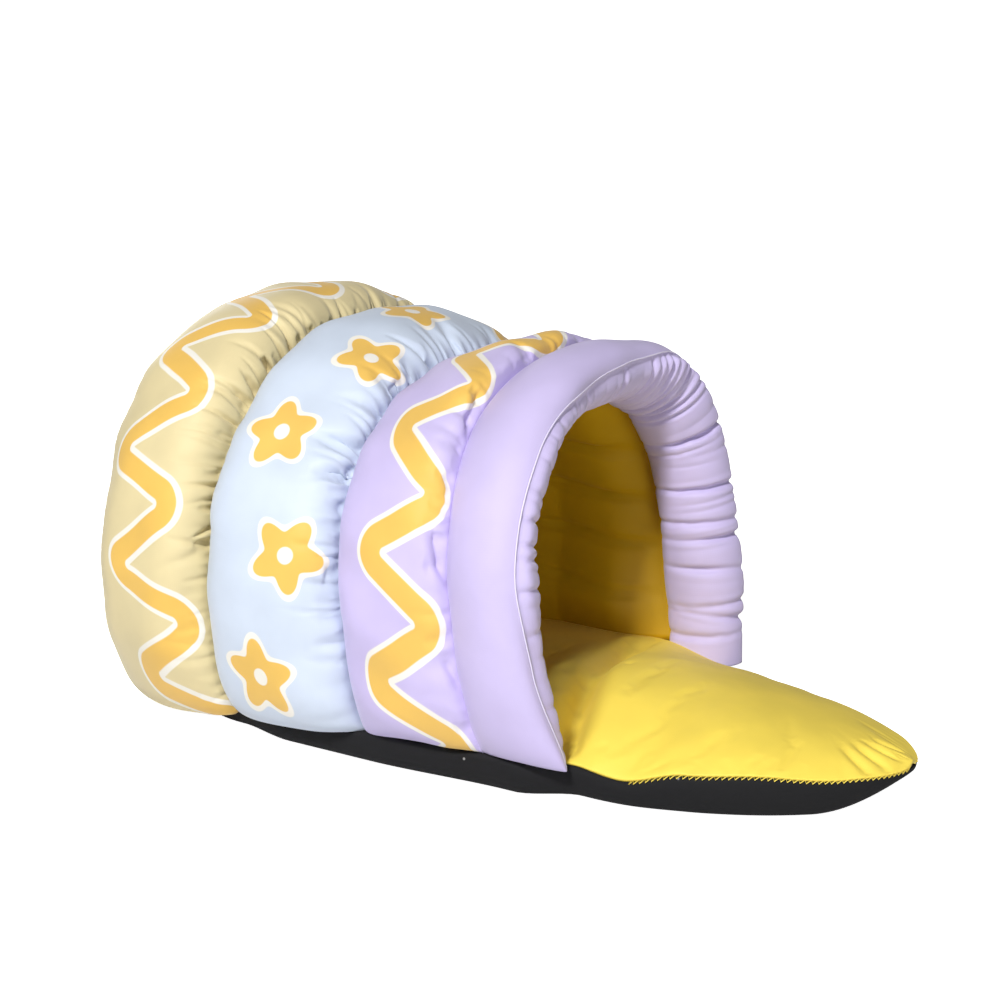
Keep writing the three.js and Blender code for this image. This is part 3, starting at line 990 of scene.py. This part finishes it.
def band_shape(band, stuffing):
    """Rings of a stuffed band, its cloth pattern, what is sewn down and its cut.

    Each ring runs over the outside, a steep-sided swelling between the two seams, and back along the
    lining's side. The rings stand equally far apart along the crest. Gathers dip into the outside
    along both seams. The cut is a flat strip as long as the crest, with the gathers folded into it.
    """
    first, second = (seam(name) for name in band["seams"])
    width = second["y"] - first["y"]
    edge = CLEARANCE / width
    trial = np.linspace(0, 1, TRIAL_STEPS + 1)
    points, normals = arch_points(arch_between(first, second, 0.5), trial)
    crest = points + normals * (SEAM_THICKNESS + band["puff"])
    along, run = even_steps(trial, crest, ARCH_STEPS)
    side, height, across = band_profile(width, band["puff"])
    from_foot = np.minimum(run, run[-1] - run)
    swell = mix(FOOT_SWELL, 1, half_oval(1 - from_foot / band["foot_rounding"], 2))
    dent = bell((run / run[-1] - SHOULDER_DENT_PLACE) / SHOULDER_DENT_WIDTH)
    swell = (swell * (1 - band["shoulder_dent"] * dent))[:, None]
    share = mix(edge, 1 - edge, 0.5 + side / 2)
    points, normals = arch_points(arch_between(first, second, share), along[:, None])
    outside = points + normals * (SEAM_THICKNESS + band["puff"] * swell * height)[..., None]
    outside[..., 2] -= band["droop"] * height * ease(1 - from_foot / DROOP_LENGTH)[:, None]
    surface = grid_normals(outside)
    surface *= np.sign((surface * normals).sum(axis=-1).mean())
    dips = band_gathers(band, stuffing, run, across) * swell * leg_share(outside, band)
    outside = outside - surface * dips[..., None]
    back_share = mix(edge, 1 - edge, np.linspace(1, 0, INSIDE_STEPS + 1))
    points, normals = arch_points(arch_between(first, second, back_share), along[:, None])
    inside = points - normals * (LINING_PUFF * np.sin(np.pi * back_share))[:, None]
    rings = np.concatenate([outside, inside], axis=1)
    back_across = across[-1] * np.linspace(1, 0, INSIDE_STEPS + 1)
    pattern = joined(run[:, None], np.concatenate([across, back_across]))
    hold = np.ones(rings.shape[:2])
    hold[1:-1, 1:BAND_STEPS] = 0
    cut = np.concatenate([pattern, np.zeros((*rings.shape[:2], 1))], axis=-1)
    cut[:, : BAND_STEPS + 1, 2] = -GATHER_SURPLUS * dips
    return rings, pattern, hold, cut


def leg_share(points, band):
    """Strength of a band's gathers: weak on its legs and full where it bends over the tunnel."""
    return mix(band["leg_gather"], 1, ease((points[..., 2] - GATHER_LEG_TOP) / GATHER_LEG_SPAN))


def between_seams(points, names):
    """Points of a band, flattened where it meets its neighbours at the leaning planes of its seams."""
    first, second = (seam(name) for name in names)
    height = points[..., 2]
    front = first["y"] + first["lean"] * (height - first["foot"] - CLEARANCE) + CLEARANCE
    back = second["y"] + second["lean"] * (height - second["foot"] - CLEARANCE) - CLEARANCE
    held = points.copy()
    held[..., 1] = np.clip(points[..., 1], front, back)
    return held


def crimped(band, rings, pattern):
    """Finer rings of a settled band with crimped gathers along its seams, and their cloth pattern.

    The front seam's gathers show, the rear seam's are mild. They are shallower on the straight legs.
    The larger creases and the lumps of the stuffing are added to them.
    """
    outside, inside = refined(rings, BAND_STEPS)
    cloth, back_cloth = refined(pattern, BAND_STEPS)
    along, across = cloth[..., 0], cloth[..., 1]
    length, width = along.max(), across.max()
    crimp = band["crimp"]
    dips = np.zeros(along.shape)
    for number, (from_seam, strength) in enumerate(((across, 1), (width - across, REAR_CRIMP))):
        seed = band["seed"] + CRIMP_SEED_STEP + number
        folds = seam_folds(seed, length, crimp["pitch"], crimp["reach"], crimp["depth"] * strength)
        dips += crimp_depth(folds, along, from_seam)
    normals = grid_normals(outside)
    half_way = len(outside) // 2
    middle = outside[half_way, BAND_STEPS] - outside[half_way].mean(axis=0)
    normals *= np.sign((normals[half_way, BAND_STEPS] * middle).sum())
    dips = dips * leg_share(outside, band) + creases_at(band["creases"], along, across)
    dips -= lumps(along, across, band["seed"]) * ease(np.minimum(across, width - across) / LUMP_EDGE)
    outside = outside - normals * dips[..., None]
    return np.concatenate([outside, inside], axis=1), np.concatenate([cloth, back_cloth], axis=1)


def rim_shape():
    """Rings of the rolled rim, their places along it, what is sewn down and its cut.

    An oval is carried along the mouth's arch. Each ring starts at the seam on the roll's front, which
    wanders along the roll. The side past that seam swells further, most on the legs, and is ruched:
    folds run across it, closest together at the right shoulder. The right foot sags with the seam below
    it and the left foot's front kicks forwards. The cut is a straight tube nearly as long as the roll's
    outside.
    """
    arch = dict(zip(SEAM_COLUMNS, RIM_ARCH))
    trial = np.linspace(0, 1, TRIAL_STEPS + 1)
    along, run = even_steps(trial, arch_points(arch, trial, RIM_SHOULDERS)[0], ARCH_STEPS)
    share = run / run[-1]
    points, normals = arch_points(arch, along, RIM_SHOULDERS)
    sewn_points = arch_points(arch, along)[0]
    outer = running_length(points + normals * RIM_HALF_THICKNESS)
    from_foot = np.minimum(along, 1 - along) / RIM_FOOT_SHARE
    pinch = half_oval(1 - run / RIM_PINCH_LENGTH, 2)
    thickness = mix(RIM_FOOT_THICKNESS, RIM_HALF_THICKNESS, ease(from_foot))
    thickness = (thickness * mix(RIM_PINCH, 1, pinch))[:, None]
    axis = unit(joined(0, 1, -arch["lean"] * ease(from_foot)))
    seam_angle = np.radians(eased(RIM_SEAM, "angle", share))
    turn = np.linspace(0, 2 * np.pi, RIM_STEPS, endpoint=False)
    angle = seam_angle[:, None] + turn
    ruched = ruched_share(turn, RIM_RUCHE_START)
    swell = eased(RIM_SWELL, "height", share)[:, None] * ruched
    dips = rim_folds(run[:, None], turn, 1) * ruched
    overlap = RIM_OVERLAP * np.maximum(np.cos(angle), 0)
    forward = (RIM_HALF_DEPTH + overlap + RIM_FORWARD_SWELL * swell - dips) * np.cos(angle)
    outer_share = eased(RIM_OUTER, "share", share)[:, None]
    thickness = thickness * np.where(np.sin(angle) > 0, outer_share, 1)
    outward = (thickness + swell - dips) * np.sin(angle)
    centre = mix(sewn_points[:, None], points[:, None], (0.5 - 0.5 * np.cos(angle))[..., None])
    kick = RIM_KICK * ease(1 - run / RIM_KICK_LENGTH)[:, None]
    centre[..., 1] -= kick * np.maximum(-np.cos(angle), 0)
    centre[..., 2] -= RIM_SAG * ease(1 - (run[-1] - run) / RIM_SAG_LENGTH)[:, None]
    rings = centre + axis[:, None] * forward[..., None] + normals[:, None] * outward[..., None]
    hold = np.zeros(angle.shape)
    hold[np.cos(angle) > RIM_SEWN_COSINE] = 1
    hold[:, 0] = RIM_SEAM_HOLD
    hold[[0, -1]] = 1
    return rings, run, hold, joined(outer[:, None] * RIM_CUT_SHARE, forward, outward)


def ruched_share(turn, start):
    """Share of the ruching by the turn from the rim's seam: none at it and past the ruched side."""
    return ease(turn / start) * ease((RIM_RUCHED_TURN - turn) / RIM_RUCHE_END)


def rim_folds(run, turn, sharpness):
    """Depth of the folds across the rim's ruched side: large ones by the table and finer uneven ones."""
    length = run.max()
    fine = seam_folds(RIM_SEED, length, RIM_CREASE_PITCH, 1, RIM_CREASE_DEPTH)
    draw = np.random.default_rng(RIM_SEED + 1)
    places = np.concatenate([np.array(RIM_FOLDS["place"]) * length, fine["place"]])
    depths = np.concatenate([RIM_FOLDS["depth"], fine["depth"]])
    widths = np.concatenate([np.full(len(RIM_FOLDS["place"]), RIM_FOLD_WIDTH), fine["half_width"]])
    slants = draw.normal(0, RIM_FOLD_SLANT, len(places))
    middles = draw.uniform(*RIM_FOLD_MIDDLES, len(places))
    extents = draw.uniform(*RIM_FOLD_EXTENTS, len(places))
    folds = zip(places, depths, widths, slants, middles, extents)
    dips = np.zeros(np.broadcast(run, turn).shape)
    for place, depth, width, slant, middle, extent in folds:
        away = (run - place - slant * (turn - RIM_FOLD_PIVOT)) / (width / sharpness)
        dips += depth * np.exp(-(away**2) - ((turn - middle) / extent) ** 2)
    return dips


def ruched_rim(rings, run):
    """Finer rings of the settled rim and their cloth pattern.

    A raised seam line runs along the first column, with a groove beside it, and the folds are sharper.
    """
    closed = np.concatenate([rings, rings[:, :1]], axis=1)
    closed = doubled(doubled(closed, 0), 1)[:, :-1]
    turn = np.linspace(0, 2 * np.pi, 2 * RIM_STEPS, endpoint=False)
    run = doubled(run[:, None], 0)
    outward = unit(closed - closed.mean(axis=1, keepdims=True))
    ridge = RIM_SEAM_HEIGHT * bell(np.sin(turn / 2) / RIM_SEAM_WIDTH)
    ridge = ridge - RIM_GROOVE_DEPTH * bell((turn - RIM_GROOVE_TURN) / RIM_GROOVE_TURN)
    folds = rim_folds(run, turn, RIM_SHARPNESS) * ruched_share(turn, RIM_RUCHE_SHARP_START)
    height = ridge - RIM_SHARP_SHARE * folds
    height += RIM_LUMP_SHARE * lumps(run, RIM_HALF_DEPTH * np.cos(turn), RIM_SEED)
    return closed + outward * height[..., None], joined(run, turn * RIM_HALF_DEPTH)


def along_tongue(y):
    """How far along the tongue each place lies, 0 at its root and 1 at its tip."""
    root = PAD_SECTIONS["y"][0]
    return np.clip((root - y) / (HALF_LENGTH + root), 0, 1)


def tongue_taper(y):
    """Width of the tongue as a share of its root's."""
    return (1 - along_tongue(y) ** TONGUE_TAPER["start"]) ** TONGUE_TAPER["end"]


def middle_line(y):
    """The middle of the pad and the base, a little askew along the tongue."""
    return -TONGUE_SKEW * np.sin(np.pi * along_tongue(y))


def section_reach(sections, y):
    """Half width of the pad or the base, narrowing along the tongue."""
    return eased(sections, "half_width", y) * tongue_taper(y)


def back_rounding(sections, y, back_y):
    """Width of the rounded back end as a share of the last section's."""
    start = sections["y"][-1]
    return half_oval((y - start) / (back_y - start), BACK_ROUNDNESS)


def seam_height(y, share):
    """Height of the seam between the pad and the base, which falls towards the back.

    share runs from -1 at the left edge to 1 at the right one. The seam waves along the tongue and sags on
    the right at the mouth.
    """
    rows = [seam(name) for name in SEAMS]
    level = np.interp(y, [row["y"] for row in rows], [row["foot"] for row in rows])
    left = eased(TONGUE_SEAM, "left", y) * ease(-share)
    return level + left + eased(TONGUE_SEAM, "right", y) * ease(share)


def places_along(back_y, count):
    """Places along the bed from the tongue's tip to the back, closer together at both ends."""
    share = np.linspace(0, 1, count + 1)
    share = mix(share, (1 - np.cos(np.pi * share)) / 2, END_CROWDING)
    return mix(BLUNT_END - HALF_LENGTH, back_y - BLUNT_END, share)


def pad_shape():
    """Rings across the floor pad, what is sewn down and its cut.

    The top is a crown that falls to the seam on either side and is lower on the right, the underside is
    flat on the base. Soft creases are pressed into the crown.
    """
    y = places_along(PAD_BACK_Y, PAD_ROWS)[:, None]
    rounding = back_rounding(PAD_SECTIONS, y, PAD_BACK_Y)
    half_width = section_reach(PAD_SECTIONS, y) * rounding
    rise = eased(PAD_SECTIONS, "rise", y) * tongue_taper(y) ** TONGUE_THINNING * rounding
    share = -np.cos(np.linspace(0, np.pi, PAD_COLUMNS + 1))
    share = mix(share, np.linspace(-1, 1, PAD_COLUMNS + 1), PAD_EVENNESS)
    crown = np.maximum(0, 1 - np.abs(share) ** PAD_CROWN["flatness"]) ** PAD_CROWN["steepness"]
    rise = rise * mix(1, PAD_FAR_SHARE, ease((share - PAD_FAR_START) / PAD_FAR_SPAN))
    x = middle_line(y) + share * half_width
    bottom = seam_height(y, share) + CLEARANCE
    swell = rise * crown - creases_at(PAD_CREASES, x, y) * np.minimum(1, PAD_CREASE_ONSET * crown)
    top = joined(x, y, bottom + PAD_EDGE + np.maximum(swell, 0))
    back_share = np.linspace(1, -1, UNDER_STEPS + 1)
    bottom = seam_height(y, back_share) + CLEARANCE
    under = joined(middle_line(y) + back_share * half_width, y, bottom)
    rings = np.concatenate([top, under], axis=1)
    hold = np.ones(rings.shape[:2])
    hold[1:-1, 1:PAD_COLUMNS] = 0
    return rings, hold, rings * (PAD_SURPLUS, PAD_SURPLUS, 1)


def overlock_shape():
    """Rings of the thread that is sewn to and fro over the seam between the tongue and the base.

    The thread runs by turns through points above the seam on the pad's edge and below it on the base's.
    """
    y = places_along(BASE_BACK_Y, OVERLOCK_ROWS)
    y = y[y < OVERLOCK_START]
    sides = []
    for sign in (-1, 1):
        height = seam_height(y, sign)
        high = joined(middle_line(y) + sign * section_reach(PAD_SECTIONS, y), y, height + OVERLOCK_ABOVE)
        reach = section_reach(BASE_SECTIONS, y) + OVERLOCK_OUT
        low = joined(middle_line(y) + sign * reach, y, height - OVERLOCK_BELOW)
        sides.append((high[::-sign], low[::-sign]))
    lines = [np.concatenate(parts) for parts in zip(*sides)]
    length = running_length(lines[1])
    number = np.arange(0, int(length[-1] / OVERLOCK_PITCH * 2))
    at = number * OVERLOCK_PITCH / 2
    turns = [joined(*(np.interp(at, length, row) for row in line.T)) for line in lines]
    return thread_rings(np.where((number % 2 == 0)[:, None], *turns), (0, 0, 1), OVERLOCK_RADIUS)


def thread_rings(path, aside, radius):
    """Rings of a thread and their pattern: circles carried along a line that never runs along aside."""
    tangent = unit(np.gradient(path, axis=0))
    outward = unit(np.cross(tangent, aside))
    upward = np.cross(outward, tangent)
    turn = np.linspace(0, 2 * np.pi, THREAD_SIDES, endpoint=False)
    circle = np.cos(turn)[:, None] * outward[:, None] + np.sin(turn)[:, None] * upward[:, None]
    return path[:, None] + radius * circle, joined(running_length(path)[:, None], radius * turn)


def base_shape():
    """Rings across the dark base and their pattern.

    Each side runs from the seam down to the floor by a table of insets and heights, so that the edge
    bulges below the seam and turns under. Near the tip the sides are raised towards the seam.
    """
    y = places_along(BASE_BACK_Y, BASE_ROWS)[:, None]
    half_width = section_reach(BASE_SECTIONS, y) * back_rounding(BASE_SECTIONS, y, BASE_BACK_Y)
    inset = np.minimum(BASE_INSET, BASE_INSET_LIMIT * half_width)
    turn_up = BASE_TIP_RISE * (1 - np.clip((y + HALF_LENGTH) / BASE_TURN_UP, 0, 1)) ** 2
    knots = np.linspace(0, 1, len(BASE_EDGE["inset"]))
    steps = np.linspace(0, 1, BASE_EDGE_STEPS + 1)
    reach = half_width - inset * np.interp(steps, knots, BASE_EDGE["inset"])
    level = mix(np.interp(steps, knots, BASE_EDGE["height"]), 1, turn_up)
    middle = middle_line(y)
    right = joined(middle + reach, y, seam_height(y, 1) * level)
    left = joined(middle - reach, y, seam_height(y, -1) * level)
    rings = np.concatenate([right, left[:, ::-1]], axis=1)
    return rings, rings[..., [1, 2]]


def lining_shape():
    """Rings of the lining and their pattern: one sheet with creases that run along the tunnel.

    The seams' arches are moved inwards along their normals: by a half wave from seam to seam, by the
    slack that hangs between the creases, and by a hump low on the walls, where the stuffing presses.
    Slack and hump fade out towards the mouth. The inner face lies a thickness further in.
    """
    names = list(SEAMS)
    along = np.linspace(0, 1, LINING_ARCH_STEPS + 1)[:, None]
    columns, sides, levels, depths = [], [], [], []
    for first, second in zip(names[:-1], names[1:]):
        share = np.linspace(0, 1, LINING_STEPS, endpoint=second == names[-1])
        points, normals = arch_points(arch_between(seam(first), seam(second), share), along)
        columns.append(points - normals * (LINING_PUFF * np.sin(np.pi * share) + CLEARANCE)[:, None])
        sides.append(normals)
        levels.append(points[..., 2])
        depths.append(mix(seam(first)["y"], seam(second)["y"], share))
    outside, normals, level = (np.concatenate(parts, axis=1) for parts in (columns, sides, levels))
    wander = LINING_WANDER * np.sin(outside[..., 1] / LINING_WANDER_LENGTH)
    crease = np.zeros(level.shape)
    for height, depth, width in zip(*LINING_CREASES.values()):
        crease += depth / LINING_SLACK * bell((level - height - wander) / width)
    from_foot = np.minimum(along, 1 - along) / LINING_FOOT_SHARE
    slack = LINING_SLACK * np.maximum(0, 1 - crease) * ease(from_foot)
    low = bell((level - LINING_BULGE_HEIGHT) / LINING_BULGE_SPAN)
    inwards = np.concatenate(depths) - seam(names[0])["y"]
    slack = (slack + LINING_BULGE * low) * ease(inwards / LINING_FADE)
    outside = outside - normals * slack[..., None]
    rings = np.concatenate([outside, (outside - normals * LINING_THICKNESS)[:, ::-1]], axis=1)
    run = running_length(outside[:, outside.shape[1] // 2])
    return rings, joined(run[:, None], rings[..., 1])


def panel_shape():
    """Rings up the back panel and their pattern: flat on the inside and crowned on the outside.

    Each ring is a level line across the back seam's arch. The crown is the root of the product of two
    parabolas, one up the panel and one across it.
    """
    arch = seam("back")
    along = np.linspace(0, PANEL_TOP_SHARE, PANEL_ROWS + 1)
    points, normals = arch_points(arch, along)
    edge = points + normals * SEAM_THICKNESS
    inner = edge[:, 1, None] + CLEARANCE
    upward = (edge[:, 2, None] - WAIST_HEIGHT) / (arch["top"] + SEAM_THICKNESS - WAIST_HEIGHT)
    crown = HALF_LENGTH - BLUNT_END - PAD_EDGE - inner
    share = -np.cos(np.linspace(0, np.pi, PANEL_COLUMNS + 1))
    swell = np.sqrt(np.maximum(0, (1 - upward**2) * (1 - share**2)))
    outside = joined(-share * edge[:, :1], inner + PAD_EDGE + crown * swell, edge[:, 2:])
    back_share = np.linspace(1, -1, UNDER_STEPS + 1)
    inside = joined(-back_share * edge[:, :1], inner, edge[:, 2:])
    rings = np.concatenate([outside, inside], axis=1)
    return rings, rings[..., [0, 2]]


# Steps of the making


class CAVEBED_OT_sew_bands(bpy.types.Operator):
    """Sew the stuffed bands of the tunnel's wall."""

    bl_idname = "cave_bed.sew_bands"
    bl_label = "Sew Bands"

    def execute(self, context):
        stuffing = context.scene.cave_bed_stuffing
        cloth = context.scene.cave_bed_cloth
        front_print = stripe_print(cloth, STRIPES["front_band"])
        rear_print = stripe_print(cloth, STRIPES["rear_band"])
        cloths = {
            "front_band": brushed_cloth("brushed_polyester_lilac", cloth.lilac, front_print),
            "middle_band": brushed_cloth("brushed_polyester_blue", cloth.blue, flower_print(cloth)),
            "rear_band": brushed_cloth("brushed_polyester_yellow", cloth.yellow, rear_print),
        }
        for name, band in BANDS.items():
            rings, pattern, hold, cut = band_shape(band, stuffing)
            rings = settle(rings, hold, cut, BAND_GIVE, stuffing)
            rings, pattern = crimped(band, rings, pattern)
            rings = between_seams(rings, band["seams"])
            piece = make_piece(name + "_cloth", rings, pattern, cloths[name])
            finish_piece(piece, [name])
        return {"FINISHED"}


class CAVEBED_OT_roll_rim(bpy.types.Operator):
    """Roll the stuffed rim round the mouth."""

    bl_idname = "cave_bed.roll_rim"
    bl_label = "Roll Rim"

    def execute(self, context):
        stuffing = context.scene.cave_bed_stuffing
        cloth = context.scene.cave_bed_cloth
        rings, run, hold, cut = rim_shape()
        rings, pattern = ruched_rim(settle(rings, hold, cut, RIM_GIVE, stuffing), run)
        piece = make_piece("rim_cloth", rings, pattern, brushed_cloth("brushed_polyester_rim", cloth.rim))
        finish_piece(piece, ["rim_roll"])
        # The seam's stitching thread, whose paler colour is a painted highlight along the seam
        edge = brushed_cloth("brushed_polyester_rim_thread_highlight", cloth.rim_thread_highlight)
        rings, pattern = thread_rings(rings[:, 0], (0, 1, 0), RIM_THREAD_RADIUS)
        thread = make_piece("rim_seam_edge", rings, pattern, edge)
        finish_piece(thread)
        return {"FINISHED"}


class CAVEBED_OT_line_cave(bpy.types.Operator):
    """Hang the lining and close the back."""

    bl_idname = "cave_bed.line_cave"
    bl_label = "Line Cave"

    def execute(self, context):
        cloth = context.scene.cave_bed_cloth
        # The lining's material carries its darkened colour, painted shade of the cave's inside
        lining = brushed_cloth("brushed_polyester_lining_painted_shade", cloth.lining, sheen=INSIDE_SHEEN)
        rings, pattern = lining_shape()
        sheet = make_piece("lining_sheet", rings, pattern, lining)
        finish_piece(sheet, ["lining"])
        rings, pattern = panel_shape()
        outside = brushed_cloth("brushed_polyester_back", cloth.yellow)
        panel = make_piece("back_panel_cloth", rings, pattern, outside)
        # The back panel's inside takes the lining's material, with its painted shade
        panel.data.materials.append(lining)
        columns = np.tile(np.arange(rings.shape[1]) > PANEL_COLUMNS, len(rings) - 1)
        slots = np.zeros(len(panel.data.polygons), np.int32)
        slots[: len(columns)] = columns
        panel.data.polygons.foreach_set("material_index", slots)
        finish_piece(panel, ["back_panel"])
        return {"FINISHED"}


class CAVEBED_OT_lay_floor(bpy.types.Operator):
    """Lay the stuffed floor pad on its dark base."""

    bl_idname = "cave_bed.lay_floor"
    bl_label = "Lay Floor"

    def execute(self, context):
        stuffing = context.scene.cave_bed_stuffing
        cloth = context.scene.cave_bed_cloth
        yellow = brushed_cloth("brushed_polyester_pad", cloth.pad, sheen=INSIDE_SHEEN)
        rings, hold, cut = pad_shape()
        rings = settle(rings, hold, cut, PAD_GIVE, stuffing)
        rings = np.concatenate(refined(rings, PAD_COLUMNS), axis=1)
        pad = make_piece("floor_pad_cloth", rings, rings[..., :2], yellow)
        finish_piece(pad, ["floor_pad"])
        thread = make_piece("overlock_thread", *overlock_shape(), yellow)
        finish_piece(thread)
        base = make_piece("base_sheet", *base_shape(), base_cloth("woven_non_slip_cloth", cloth.base))
        finish_piece(base, ["base"])
        return {"FINISHED"}


def add_to_scene(name, data, place=(0, 0, 0), facing=None):
    """Puts a mesh, light or camera into the scene, looking along facing if that is given."""
    thing = bpy.data.objects.new(name, data)
    thing.location = place
    if facing is not None:
        thing.rotation_euler = facing.to_track_quat("-Z", "Y").to_euler()
    bpy.context.scene.collection.objects.link(thing)
    return thing


class CAVEBED_OT_set_stage(bpy.types.Operator):
    """Set up the floor, the lights and the camera."""

    bl_idname = "cave_bed.set_stage"
    bl_label = "Set Stage"

    def execute(self, context):
        scene = context.scene
        stage = scene.cave_bed_stage
        scene.view_settings.view_transform = "Standard"
        mesh = bpy.data.meshes.new("floor")
        corners = [(FLOOR_REACH * x, FLOOR_REACH * y, 0) for x, y in ((-1, -1), (1, -1), (1, 1), (-1, 1))]
        mesh.from_pydata(corners, [], [(0, 1, 2, 3)])
        mesh.materials.append(studio_floor("painted_board", stage.floor))
        floor = add_to_scene("floor", mesh)
        world = bpy.data.worlds.new("studio")
        world.use_nodes = True
        tree = world.node_tree
        rays = add_node(tree, "LightPath").outputs["Is Camera Ray"]
        limits = {"Value": rays, "To Min": SKY_STRENGTH, "To Max": FLOOR_GLOW}
        strength = add_node(tree, "MapRange", limits)
        fill_sockets(tree, tree.nodes["Background"], {"Color": WHITE, "Strength": strength})
        scene.world = world
        target = Vector(CAMERA_TARGET)
        level = Vector((math.sin(stage.azimuth), -math.cos(stage.azimuth), 0))
        back = level * math.cos(stage.elevation) + Vector((0, 0, math.sin(stage.elevation)))
        lens = bpy.data.cameras.new("camera")
        for key, value in CAMERA_LENS.items():
            setattr(lens, key, value)
        scene.camera = add_to_scene("camera", lens, target + back * stage.distance, -back)
        for name, place, energy, size in LIGHTS:
            light = bpy.data.lights.new(name, "AREA")
            light.energy = energy
            light.size = size
            add_to_scene(name, light, place, target - Vector(place))
        return {"FINISHED"}


STEPS = ("set_stage", "sew_bands", "roll_rim", "line_cave", "lay_floor")


class CAVEBED_PT_sewing(bpy.types.Panel):
    """Lists the steps of the bed's making."""

    bl_idname = "CAVEBED_PT_sewing"
    bl_label = "Cave Bed"
    bl_space_type = "VIEW_3D"
    bl_region_type = "UI"
    bl_category = "Cave Bed"

    def draw(self, context):
        for step in STEPS:
            self.layout.operator("cave_bed." + step)


SETTINGS = {
    "cave_bed_cloth": CaveBedCloth,
    "cave_bed_stuffing": CaveBedStuffing,
    "cave_bed_stage": CaveBedStage,
}
CLASSES = (
    *SETTINGS.values(),
    CAVEBED_OT_set_stage,
    CAVEBED_OT_sew_bands,
    CAVEBED_OT_roll_rim,
    CAVEBED_OT_line_cave,
    CAVEBED_OT_lay_floor,
    CAVEBED_PT_sewing,
)


def register():
    """Registers the classes and gives the scene their settings."""
    for item in CLASSES:
        bpy.utils.register_class(item)
    for name, group in SETTINGS.items():
        setattr(bpy.types.Scene, name, PointerProperty(type=group))


def unregister():
    """Takes the settings and the classes away again."""
    for name in SETTINGS:
        delattr(bpy.types.Scene, name)
    for item in reversed(CLASSES):
        bpy.utils.unregister_class(item)


def main():
    """Makes the bed step by step."""
    register()
    for step in STEPS:
        getattr(bpy.ops.cave_bed, step)()


if __name__ == "__main__":
    main()
